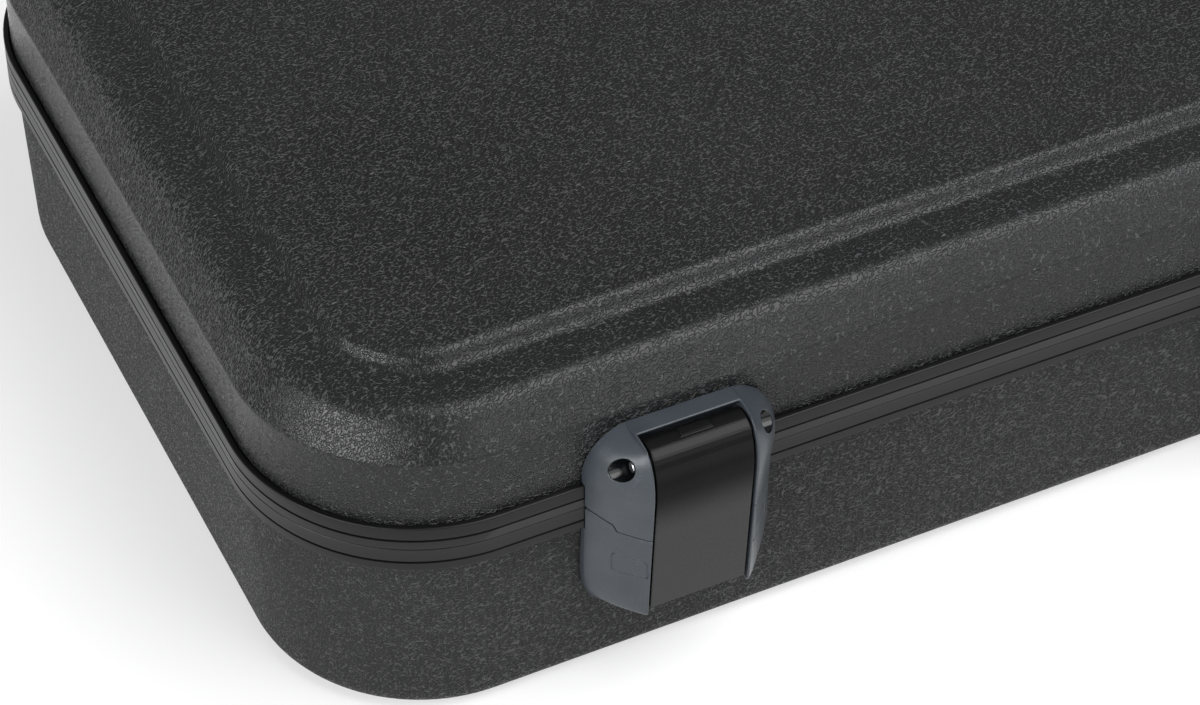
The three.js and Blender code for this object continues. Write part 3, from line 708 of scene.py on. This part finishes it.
def plush_look(tree, place):
    pile = noise(tree, place, scale=1500.0, detail=4.0, roughness=0.75)
    brushed = noise(tree, place, scale=22.0, detail=3.0, roughness=0.6)
    tufts = noise(tree, place, scale=300.0, detail=3.0, roughness=0.6)
    tone = weighted(tree, pile, 0.55, brushed, 0.5)
    height = maths(tree, "MULTIPLY_ADD", tufts, 1.4, pile)
    return {
        "Base Color": mixed(tree, tone, (0.012, 0.012, 0.0135), (0.05, 0.05, 0.054)),
        "Specular IOR Level": 0.2,
        "Roughness": ramp(tree, pile, 0.85, 1.0),
        "Sheen Weight": 0.5,
        "Sheen Roughness": 0.4,
        "Normal": bumped(tree, height, distance=0.0005, strength=0.8),
    }


finishes = {slot: new_material(name, look) for slot, name, look in (
    ("shell", "grained_shell_plastic", shell_look),
    ("edge_frame", "satin_edge_frame", frame_look),
    ("bumper", "blue_grey_bumper_plastic", bumper_look),
    ("lever", "satin_lever_plastic", lever_look),
    ("steel", "zinc_plated_steel", steel_look),
    ("rubber", "matt_rubber", rubber_look),
    ("foam", "plush_lining", plush_look),
)}


def finish_piece(piece, body, slot, *nodes):
    piece.data.materials.clear()
    piece.data.materials.append(finishes[slot])
    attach(piece, body)
    if nodes:
        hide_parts(*nodes)


def numbered_copies(piece, group, part, places, body, slot, cad):
    """A copy at each place. {} in the body's name stands for the copy's number."""
    for i, place in enumerate(places, 1):
        copy = new_object(f"{group}_{i}_{part}", piece.data, place)
        finish_piece(copy, body.format(i), slot, f"{group}_{i}_{cad}")
    bpy.data.objects.remove(piece)


# Shells
def base_wall_inset(height):
    share = (base_wall_top - height) / (base_wall_top - base_edge_radius)
    return wall_setback + base_draft * share


def base_profile():
    centre = (wall_setback + base_draft + base_edge_radius, base_edge_radius)
    outer = arc(centre, base_edge_radius, -quarter, -pi, 10)
    inner = arc(centre, base_edge_radius - shell_thickness, -pi, -quarter, 10)
    rim = shell_thickness / 2
    top = arc((wall_setback + rim, base_wall_top - rim), rim, pi, 0, 6)
    return outer + top + inner


def lid_profile():
    crease = (crease_inset, crease_height)
    shoulder = (crease[0] + shoulder_width, crease[1] + shoulder_height)
    ledge = (shoulder[0] + ledge_width, shoulder[1])
    panel = (ledge[0] + panel_step_width, ledge[1] + panel_step_height)
    inward = (panel[0] + ledge_width, panel[1])
    corners = [(wall_setback, lid_wall_foot), crease, shoulder, ledge, panel, inward]
    return filleted(corners, [crease_radius, shoulder_radius, step_radius, step_radius])


def inner_side(points):
    """The line one shell thickness inside another."""
    moved = []
    for i, point in enumerate(points):
        before = Vector(points[max(i - 1, 0)])
        after = Vector(points[min(i + 1, len(points) - 1)])
        along = (after - before).normalized()
        out = (point[0] + along.y * shell_thickness, point[1] - along.x * shell_thickness)
        moved.append(out)
    return moved


def make_shells():
    outside = lid_profile()
    lid_section = inner_side(outside)[::-1] + outside
    for body, profile in (("base", base_profile()), ("lid", lid_section)):
        piece = loft(f"{body}_shell_skin", [case_ring(*point) for point in profile])
        finish_piece(piece, body, "shell", f"{body}_shell")


# Frames
def seam_loft(name, profile, body, slot, cad):
    """A closed profile of insets and rises from the seam, led once round the case."""
    piece = loft(name, [case_ring(inset, seam + rise) for inset, rise in profile], True)
    finish_piece(piece, body, slot, cad)


def edge_frame(body, side, groove_rise, end, inner, outer_radius, mating):
    """The lid's frame (side 1) or the base's (-1), by its heights away from the seam. The mating
    points shape the tongue or the channel."""
    gap = seam_gap / 2
    half = groove_half_width
    lip = filleted([(0, groove_rise + half), (0, end), (flange, end), (flange, inner)],
                   [outer_radius, lip_radius])
    profile = [
        (seam_bevel, gap), (0, gap + seam_bevel), (0, groove_rise - half),
        (groove_depth, groove_rise - half / 2), (groove_depth, groove_rise + half / 2),
        (0, groove_rise + half), *lip[1:], (reach, inner), (reach, gap), *mating,
    ]
    profile = [(inset, rise * side) for inset, rise in profile]
    seam_loft(f"{body}_edge_frame", profile, body, "edge_frame", f"{body}_frame")


def make_frames():
    gap = seam_gap / 2
    tongue = channel_inset + (reach - channel_wall - channel_inset - tongue_width) / 2
    far, tip = tongue + tongue_width, gap - tongue_depth
    edge_frame("lid", 1, lid_groove_rise, lid_frame_top - seam, gap + web, lip_radius,
               [(far, gap), (far, tip), (tongue, tip), (tongue, gap)])
    far, floor = reach - channel_wall, gap + channel_depth
    edge_frame("base", -1, base_groove_drop, seam - base_frame_foot, floor + web, lip_radius / 2,
               [(far, gap), (far, floor), (channel_inset, floor), (channel_inset, gap)])
    outer = channel_inset + clearance
    inner = reach - channel_wall - clearance
    foot = clearance - floor
    top = gap - tongue_depth - clearance
    dent = (top - foot) / 3
    middle = (outer + inner) / 2
    strip = [(outer, foot), (outer, top - dent), (outer + dent, top), (middle, top - dent),
             (inner - dent, top), (inner, top - dent), (inner, foot)]
    seam_loft("gasket_strip", strip, "base", "rubber", "seam_gasket")


# Latches. Fields take the distances across from the latch's middle, out from the frame's face and
# up from the seam.
def case_front():
    behind = -wall_setback - 2 * overrun
    wall = clearance - wall_setback
    lid_edge = lid_frame_top - seam + clearance
    base_edge = base_frame_foot - seam - clearance
    return [
        (behind, below_latch), (clearance - base_wall_inset(seam + below_latch), below_latch),
        (wall, base_edge), (clearance, base_edge), (clearance, lid_edge), (wall, lid_edge),
        (wall, above_latch), (behind, above_latch),
    ]


def window_outline():
    face = clearance + plate
    out = latch_depth + overrun
    return [
        (face, below_latch), (face, window_slope_rise), (latch_lip_depth, latch_rise - window_lip),
        (latch_lip_depth, above_latch), (out, above_latch), (out, below_latch),
    ]


def housing_depth(rise):
    share = np.clip((rise - full_depth_rise) / (latch_rise - full_depth_rise), 0, 1)
    curve = (1 - share ** top_curve) ** (1 / top_curve)
    upper = latch_lip_depth + (latch_depth - latch_lip_depth) * curve
    taper_foot = foot_rounding - latch_drop
    down = np.clip((full_depth_rise - rise) / (full_depth_rise - taper_foot), 0, 1)
    lower = latch_depth + (latch_low_depth - latch_depth) * down
    curl = np.clip((taper_foot - rise) / foot_rounding, 0, 1)
    lower = lower - foot_rounding * (1 - np.sqrt(1 - curl * curl))
    return np.where(rise > full_depth_rise, upper, lower)


def housing_half_width(rise):
    up = np.clip((rise - full_depth_rise) / latch_shoulder_radius, 0, 1)
    upper = latch_half_width - latch_shoulder_radius * (1 - np.sqrt(1 - up * up))
    down = np.clip((foot_height - latch_drop - rise) / foot_height, 0, 1)
    lower = foot_half_width + (latch_half_width - foot_half_width) * np.sqrt(1 - down * down)
    return np.where(rise > full_depth_rise, upper, lower)


def housing_level(across, out, rise):
    narrow = window_half_width + latch_rim
    core = narrow - latch_core_run
    wide = np.maximum(housing_half_width(rise), narrow + latch_rim)
    turn = np.clip((rise + cheek_turn_drop) / (cheek_turn_rise + cheek_turn_drop), 0, 1)
    curve = low_cheek_curve + (high_cheek_curve - low_cheek_curve) * turn
    side = (np.maximum(across - core, 0) / (wide - core)) ** curve
    front = (np.maximum(out, 0) / housing_depth(rise)) ** curve
    return side + front * (1 - (latch_core_run / (wide - core)) ** curve) - 1


def housing_outside(*place):
    """About the distance to the housing's outer face."""
    slopes = slopes_of(housing_level, place, level_step)
    steepness = np.sqrt(sum(slope ** 2 for slope in slopes))
    return housing_level(*place) / np.maximum(steepness, least_level_slope)


def housing(across, out, rise):
    fall = latch_top_fall / (latch_lip_depth + wall_setback)
    top = rise - latch_rise + np.maximum(latch_lip_depth - out, 0) * fall
    body = meet(housing_outside(across, out, rise), top / hypot(1, fall), full_edge)
    body = meet(body, -latch_drop - rise, soft_edge)
    patch = plate_distance(out - patch_depth, rise - patch_rise,
                           patch_half_depth, patch_half_rise, patch_corner)
    body = body + patch_line_depth * np.exp(-(patch / patch_line_half_width) ** 2)
    window = outline_distance(window_outline(), out, rise)
    window = meet(across - window_half_width, window, fine_edge)
    body = cut(body, window, rim_radius)
    body = cut(body, outline_distance(case_front(), out, rise), fine_edge)
    pocket = rod_distance(out, rise, pivot, pocket_radius)
    pocket = np.maximum(pocket, window_half_width + pivot_wall - across)
    body = bored(cut(body, pocket, eased_edge), out, rise, pivot, pivot_radius)
    notch = np.abs(rise) - (across - latch_half_width + notch_depth) / 2
    return cut(body, notch, hair_edge)


def half_housing(shift, edge):
    """The housing between the split and a level beyond its top or foot."""
    far = latch_half_width + overrun
    split = [(far, split_outer_rise), (latch_half_width, split_outer_rise),
             (split_step_outer, -split_outer_fall), (split_step_inner, -split_step_fall),
             (-overrun, -split_step_fall)]
    outline = [(across, shift + rise) for across, rise in split] + [(-overrun, edge), (far, edge)]

    def field(across, out, rise):
        part = outline_distance(outline, across, rise)
        return meet(housing(across, out, rise), part, fine_edge)
    return field


def lever_outline():
    barrel_start = pi / 4
    top = pivot_rise + lever_barrel * sin(barrel_start) - lever_bend_run
    rises = np.linspace(-lever_drop, top, 40)
    front = [(float(housing_depth(rise)) - lever_flush, float(rise)) for rise in rises]
    barrel = arc(pivot, lever_barrel, barrel_start, pi * 1.1, 20)
    ear = arc(hook_pivot, lever_ear_radius, pi * 0.8, pi * 1.3, 8)
    inner = lever_flush + lever_thickness
    back = [(float(housing_depth(-drop)) - inner, -drop) for drop in (lever_web_foot, lever_drop)]
    return front + barrel + ear + back


def lever(across, out, rise):
    half = window_half_width - lever_gap
    body = meet(outline_distance(lever_outline(), out, rise), across - half, soft_edge)
    face = housing_depth(np.clip(rise, -lever_drop, None)) - lever_flush - lever_thickness
    hollow = np.maximum(out - face, rise - pivot_rise + lever_barrel)
    hollow = meet(hollow, across - half + lever_web, full_edge)
    body = cut(body, hollow, lever_hollow_edge)
    tab = rod_distance(out, rise, pivot, lever_tab_radius)
    for limit in (across - lever_tab_half_width, out - pivot_depth - lever_tab_front,
                  pivot_depth - lever_tab_back - out, pivot_rise - rise):
        tab = np.maximum(tab, limit)
    body = bored(join(body, tab, fine_edge), out, rise, pivot, pivot_radius)
    return bored(body, out, rise, hook_pivot, hook_pin_radius)


def hook_outline():
    boss = arc(hook_pivot, hook_boss_radius, -0.1 * pi, 1.1 * pi, 16)
    back = hook_pin_depth - hook_shank / 2
    front = hook_pin_depth + hook_shank / 2
    tip = catch_back + catch_reach + claw_gap
    claw_top = claw_height - hook_drop
    return boss + [(back, claw_top), (tip, claw_top), (tip, -hook_drop), (front, -hook_drop)]


def hook(across, out, rise):
    outline = outline_distance(hook_outline(), out, rise)
    body = meet(outline, across - hook_half_width, eased_edge)
    return bored(body, out, rise, hook_pivot, hook_pin_radius)


def catch_outline():
    face = catch_back + catch_thickness
    lip_foot = claw_height - hook_drop + clearance
    lip_top = lip_foot + catch_lip
    return [
        (catch_back, lip_foot - catch_drop), (face, lip_foot - catch_drop), (face, lip_foot),
        (catch_back + catch_reach, lip_foot), (catch_back + catch_reach, lip_top), (face, lip_top),
        (face, lip_top + catch_rise), (catch_back, lip_top + catch_rise),
    ]


def catch(across, out, rise):
    outline = outline_distance(catch_outline(), out, rise)
    return meet(outline, across - catch_half_width, fine_edge)


def latch_piece(part, field, half, y, z, pitch, keep_share):
    low, high = (-half, y[0], z[0]), (half, y[1], z[1])
    return solid(part, lambda x, y, z: field(np.abs(x), -y, z), low, high, pitch, keep_share)


def pin(name, radius, half):
    """A round pin along X about the origin."""
    end = (half, radius - fine_edge)
    neck = (half - fine_edge, radius)
    rings = [(-end[0], end[1]), (-neck[0], neck[1]), neck, end]
    return loft(name, [[(x, *point) for point in circle(r, 28)] for x, r in rings])


def half_span(cad):
    low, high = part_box(cad)
    return (high.x - low.x) / 2


def make_latches():
    wide = latch_half_width + box_margin
    near = -latch_depth - box_margin
    upper = half_housing(split_gap / 2, latch_rise + 2 * overrun)
    lower = half_housing(-split_gap / 2, -latch_drop - 2 * overrun)
    origins = [(x, -half_width, seam) for x in latch_places]
    # Part, field, half width, y and z limits, pitch, share of faces kept, body, slot, node
    parts = [
        ("upper_housing", upper, wide, (near, wall_setback), (-0.008, latch_rise),
         0.00024, 0.35, "lid", "bumper", "lid_bumper"),
        ("lower_housing", lower, wide, (near, 0.007), (-latch_drop, 0.002),
         0.00024, 0.35, "base", "bumper", "base_bumper"),
        ("flap", lever, window_half_width, (near, 0), (-lever_drop, 0.0345),
         0.0004, 0.35, "lever_{}", "lever", "lever"),
        ("hook_link", hook, hook_half_width, (-0.017, -0.005), (-hook_drop, 0),
         0.0004, 0.4, "hook_{}", "steel", "hook"),
        ("catch", catch, catch_half_width, (-0.008, -0.002), (-0.037, -0.018),
         0.0004, 0.4, "base", "steel", "striker"),
    ]
    for part, *shape, body, slot, cad in parts:
        numbered_copies(latch_piece(part, *shape), "latch", part, origins, body, slot, cad)
    # Part, node, body, radius, half length and centre
    pins = [
        ("pivot_axle", "pivot_pin", "lid", pivot_radius,
         window_half_width + pivot_wall + pivot_pin_end, pivot),
        ("hook_axle", "hook_pin", "lever_{}", hook_pin_radius,
         half_span("latch_1_hook_pin"), hook_pivot),
    ]
    for part, cad, body, radius, half, (depth, rise) in pins:
        places = [(x, -half_width - depth, seam + rise) for x in latch_places]
        numbered_copies(pin(part, radius, half), "latch", part, places, body, "steel", cad)


# Hinges. Fields take x, y (away from the case) and z from the hinge's own point.
def leaf(side, frame_edge, wall_inset, knuckles):
    face = clearance + leaf_thickness
    end = frame_edge + clearance
    outline = [(clearance, leaf_start), (clearance, end), (clearance - wall_setback, end),
               (clearance - wall_inset, leaf_end), (face, leaf_end), (face, leaf_start)]
    outline = [(depth, rise * side) for depth, rise in outline]

    def field(x, y, z):
        across = np.abs(x)
        rise = z * side
        body = meet(outline_distance(outline, y, z), across - hinge_half_width, soft_edge)
        corners = plate_distance(x, rise - leaf_start, hinge_half_width, leaf_height, leaf_corner)
        body = np.where(rise > leaf_arm * 2, meet(body, corners, soft_edge), body)
        arm = plate_distance(y - 2 * clearance - leaf_thickness / 2, rise - leaf_arm / 2,
                             leaf_thickness / 2, leaf_arm / 2, fine_edge)
        barrel = join(rod_distance(y, z, hinge_axis, knuckle_radius), arm, knuckle_fillet)
        body = join(body, meet(barrel, knuckles(across), eased_edge), fine_edge)
        return bored(body, y, z, hinge_axis, hinge_pin_radius)
    return field


def rivet():
    """A domed head that stands out along +Y."""
    rings = []
    for k in range(7):
        angle = quarter * k / 7
        out = rivet_height * sin(angle)
        rings.append([(x, out, z) for x, z in circle(rivet_radius * cos(angle), 20)])
    return loft("rivet", rings)


def make_hinges():
    half, middle = hinge_half_width, middle_knuckle_half
    out = hinge_axis_depth + knuckle_radius
    base_inset = base_wall_inset(seam - leaf_start - leaf_height)
    base_leaf = leaf(-1, seam - base_frame_foot, base_inset, lambda across: across - middle)
    lid_leaf = leaf(1, lid_frame_top - seam, wall_setback,
                    lambda across: np.maximum(across - half, middle + clearance - across))
    origins = [(x, half_width, seam) for x in hinge_places]
    # Part, field, lowest and highest corner, body
    leaves = [
        ("lower_leaf", base_leaf, (-half, -0.006, -leaf_end), (half, out, knuckle_radius), "base"),
        ("upper_leaf", lid_leaf, (-half, -0.004, -knuckle_radius), (half, out, leaf_end), "lid"),
    ]
    for part, field, low, high, body in leaves:
        piece = solid(part, field, low, high, 0.0005, 0.3)
        numbered_copies(piece, "hinge", part, origins, body, "edge_frame", f"{body}_leaf")
    axle = pin("axle", hinge_pin_radius, half_span("hinge_1_pin"))
    places = [(x, half_width + hinge_axis_depth, seam) for x in hinge_places]
    numbered_copies(axle, "hinge", "axle", places, "base", "steel", "pin")
    face = half_width + clearance + leaf_thickness
    for i, x in enumerate(hinge_places, 1):
        for body, side in (("base", -1), ("lid", 1)):
            head = rivet()
            height = seam + side * (leaf_start + leaf_height * rivet_rise_share)
            for k, shift in enumerate((-half * rivet_spread, 0, half * rivet_spread), 1):
                place = (x + shift, face, height)
                copy = new_object(f"hinge_{i}_{body}_rivet_{k}", head.data, place)
                finish_piece(copy, body, "steel")
            bpy.data.objects.remove(head)


# Carry handle
def handle_outline():
    half = handle_half_span
    inner = half - handle_arm_width
    top = handle_pivot_height + handle_end_rise
    foot = handle_pivot_height - handle_drop
    low = foot + handle_corner
    lip = foot + handle_grip_height + handle_window_corner
    outer_x = half - handle_corner
    inner_x = inner - handle_window_corner
    return [
        (-half, top),
        *arc((-outer_x, low), handle_corner, 2 * quarter, 3 * quarter, 12),
        *arc((outer_x, low), handle_corner, 3 * quarter, 4 * quarter, 12),
        (half, top), (inner, top),
        *arc((inner_x, lip), handle_window_corner, 0, -quarter, 10),
        *arc((-inner_x, lip), handle_window_corner, -quarter, -2 * quarter, 10),
        (-inner, top),
    ]


def handle_field(x, y, z):
    out = -y - half_width
    thick = np.abs(out - handle_pivot_depth) - handle_thickness / 2
    body = meet(outline_distance(handle_outline(), x, z), thick, handle_rounding)
    return bored(body, out, z, handle_pivot, handle_pin_radius, fine_edge)


def bracket_outline():
    top = handle_pivot_height + bracket_boss + bracket_margin
    foot = handle_pivot_height - bracket_boss - bracket_margin
    boss = arc(handle_pivot, bracket_boss, -quarter, quarter, 20)
    return [(clearance - base_wall_inset(foot), foot), (bracket_face, foot), *boss,
            (bracket_face, top), (clearance - base_wall_inset(top), top)]


def bracket(sign, middle):
    outline = bracket_outline()

    def field(x, y, z):
        out = -y - half_width
        thick = np.abs(x * sign - middle) - bracket_width / 2
        body = meet(outline_distance(outline, out, z), thick, full_edge)
        return bored(body, out, z, handle_pivot, handle_pin_radius, fine_edge)
    return field


def make_handle():
    axis_y = -half_width - handle_pivot_depth
    low = (-handle_half_span, axis_y - handle_thickness / 2, handle_pivot_height - handle_drop)
    high = (handle_half_span, axis_y + handle_thickness / 2, handle_pivot_height + handle_end_rise)
    grip = solid("handle_grip_molding", handle_field, low, high, 0.0008, 0.6)
    finish_piece(grip, "handle", "rubber", "handle_grip")
    outline = bracket_outline()
    inner = handle_half_span + clearance
    outer = inner + bracket_width
    for side, sign in (("left", -1), ("right", 1)):
        low_x, high_x = sorted((inner * sign, outer * sign))
        low = (low_x, axis_y - bracket_boss, outline[0][1])
        high = (high_x, bracket_back - half_width, outline[-1][1])
        field = bracket(sign, (inner + outer) / 2)
        holder = solid(f"handle_bracket_{side}_molding", field, low, high, 0.0005, 0.4)
        finish_piece(holder, "base", "bumper", f"handle_bracket_{side}")
        cad = f"handle_pin_{side}"
        axle = pin(f"handle_axle_{side}", handle_pin_radius, half_span(cad))
        low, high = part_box(cad)
        axle.location = ((low.x + high.x) / 2, axis_y, handle_pivot_height)
        finish_piece(axle, "base", "steel", cad)


# Plush-faced foam
def body_outline(start):
    """The guitar body's outline, smooth through its points."""
    upper = [(start + along * body_length, across * body_width / 2)
             for along, across in body_outline_shares]
    corners = upper + [(x, -y) for x, y in reversed(upper[1:-1])]
    result = []
    for i in range(len(corners)):
        a, b, c, d = (np.array(corners[(i + k) % len(corners)]) for k in (-1, 0, 1, 2))
        for k in range(6):
            t = k / 6
            square, cube = 2 * a - 5 * b + 4 * c - d, 3 * b - a - 3 * c + d
            point = 0.5 * (2 * b + (c - a) * t + square * t * t + cube * t ** 3)
            result.append(tuple(point))
    return result


def make_plush_piece(name, field, pitch, keep_share, body, cad):
    piece = solid(name, field, *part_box(cad), pitch, keep_share)
    finish_piece(piece, body, "foam", cad)


def make_plush():
    foam_inset = wall_setback + shell_thickness + clearance
    low_inset = wall_setback + base_draft + shell_thickness + clearance
    body_start = -half_length + foam_inset + body_end_wall
    body_end = body_start + body_length
    head_end = half_length - foam_inset - head_end_wall
    head_start = head_end - head_length
    neck_middle = (head_start + body_end) / 2
    neck_half_length = (head_start - body_end) / 2 + overrun
    floor = shell_thickness + clearance
    outline = body_outline(body_start)
    well_side = neck_width / 2 + well_wall + well_width / 2

    def bed(x, y, z):
        share = np.clip((foam_top - z) / (foam_top - base_edge_radius), 0, 1)
        inset = foam_inset + (low_inset - foam_inset) * share
        side = plate_distance(x, y, half_length - inset, half_width - inset,
                              corner_radius - foam_inset)
        body = meet(side, z - foam_top, plush_radius)
        body = meet(body, floor - z, base_edge_radius)

        def pocket(plan, depth):
            return meet(plan, foam_top - depth - z, plush_radius)

        def box_pocket(middle, side, half_x, half_y, corner, depth):
            return pocket(plate_distance(x - middle, y - side, half_x, half_y, corner), depth)

        hollow = pocket(outline_distance(outline, x, y), body_depth)
        neck = box_pocket(neck_middle, 0, neck_half_length, neck_width / 2,
                          neck_corner, neck_depth)
        head = box_pocket((head_start + head_end) / 2, 0, head_length / 2, head_width / 2,
                          pocket_corner, neck_depth)
        hollow = join(join(hollow, neck, plush_radius), head, plush_radius)
        for sign in (-1, 1):
            well = box_pocket(neck_middle, sign * well_side, well_length / 2, well_width / 2,
                              pocket_corner, well_depth)
            hollow = np.minimum(hollow, well)
        return cut(body, hollow, plush_radius)

    rest_floor = foam_top - neck_depth + clearance
    rest_middle = head_start - neck_rest_from_head
    rest_half = neck_width / 2 - clearance
    saddle_axis = (0, rest_floor + neck_rest_height + neck_saddle_radius / 2)

    def rest(x, y, z):
        block = plate_distance(x - rest_middle, z - rest_floor - neck_rest_height / 2,
                               neck_rest_length / 2, neck_rest_height / 2, neck_rest_corner)
        block = meet(block, np.abs(y) - rest_half, neck_rest_side_edge)
        saddle = rod_distance(y, z, saddle_axis, neck_saddle_radius)
        return cut(block, saddle, neck_rest_corner)

    pad_low, pad_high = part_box("lid_pad")
    pad_corner = corner_radius - (half_length - pad_high.x)

    def pad(x, y, z):
        plan = plate_distance(x, y, pad_high.x, pad_high.y, pad_corner)
        crown = pad_crown * (1 - np.clip(-plan / pad_crown_run, 0, 1)) ** 2
        return meet(meet(plan, pad_low.z + crown - z, pad_rim), z - pad_high.z, full_edge)

    make_plush_piece("plush_bed", bed, 0.003, 0.6, "base", "foam_bed")
    make_plush_piece("plush_neck_rest", rest, 0.0012, 0.7, "base", "neck_rest")
    make_plush_piece("plush_lid_pad", pad, 0.0025, 0.5, "lid", "lid_pad")


make_shells()
make_frames()
make_latches()
make_hinges()
make_handle()
make_plush()


# Floor, background and light
def seen_share(tree, strength):
    """The strength for camera, mirror and glass rays, and none for others."""
    path = node(tree, "LightPath")
    seen = maths(tree, "MAXIMUM", path.outputs["Is Camera Ray"], path.outputs["Is Glossy Ray"])
    seen = maths(tree, "MAXIMUM", seen, path.outputs["Is Transmission Ray"])
    return maths(tree, "MULTIPLY", seen, strength)


def empty_tree(owner):
    owner.use_nodes = True
    owner.node_tree.nodes.clear()
    return owner.node_tree


def make_floor():
    """A pale grey floor that looks white to the camera and in reflections."""
    half = floor_half_size
    floor = mesh_object("floor", [(-half, -half, 0), (half, -half, 0), (half, half, 0),
                                  (-half, half, 0)], [(0, 1, 2, 3)])
    material = bpy.data.materials.new("pale_floor")
    tree = empty_tree(material)
    matt = node(tree, "BsdfDiffuse", {"Color": (floor_tone, floor_tone, floor_tone, 1)})
    lift = seen_share(tree, floor_lift)
    glow = node(tree, "Emission", {"Color": (1, 1, 1, 1), "Strength": lift})
    both = node(tree, "AddShader", {0: matt.outputs[0], 1: glow.outputs[0]})
    node(tree, "OutputMaterial", {"Surface": both.outputs[0]})
    floor.data.materials.append(material)


def make_world():
    """Pale at the horizon and dim above it, for every kind of ray."""
    world = bpy.data.worlds.new("studio")
    scene.world = world
    tree = empty_tree(world)
    height = height_of(tree, node(tree, "TexCoord").outputs["Generated"])
    strength = ramp(tree, height, horizon_strength, sky_strength, 0.0, horizon_height)
    background = node(tree, "Background", {"Color": (1, 1, 1, 1), "Strength": strength})
    node(tree, "OutputWorld", {"Surface": background.outputs[0]})


def make_softboxes():
    for name, (way, size, power) in softboxes.items():
        data = bpy.data.lights.new(name, "AREA")
        data.shape = "RECTANGLE"
        data.size, data.size_y = size
        data.energy = power
        place = lit_point + Vector(way)
        lamp = new_object(name, data, place)
        lamp.rotation_euler = (lit_point - place).to_track_quat("-Z", "Y").to_euler()


def make_camera():
    data = bpy.data.cameras.new("camera")
    data.sensor_fit = "HORIZONTAL"
    data.sensor_width = sensor_width
    data.lens = focal_pixels / picture_width * sensor_width
    camera = new_object("camera", data)
    level = cos(camera_elevation)
    drop = -sin(camera_elevation)
    forward = Vector((sin(camera_azimuth) * level, cos(camera_azimuth) * level, drop))
    side = Vector((cos(camera_azimuth), -sin(camera_azimuth), 0))
    up = side.cross(forward)
    right = side * cos(camera_roll) + up * sin(camera_roll)
    above = up * cos(camera_roll) - side * sin(camera_roll)
    turn = Matrix((right, above, -forward)).transposed().to_4x4()
    camera.matrix_world = Matrix.Translation(camera_target - forward * camera_distance) @ turn
    scene.camera = camera


make_floor()
make_world()
make_softboxes()
make_camera()
scene.view_settings.view_transform = "Standard"
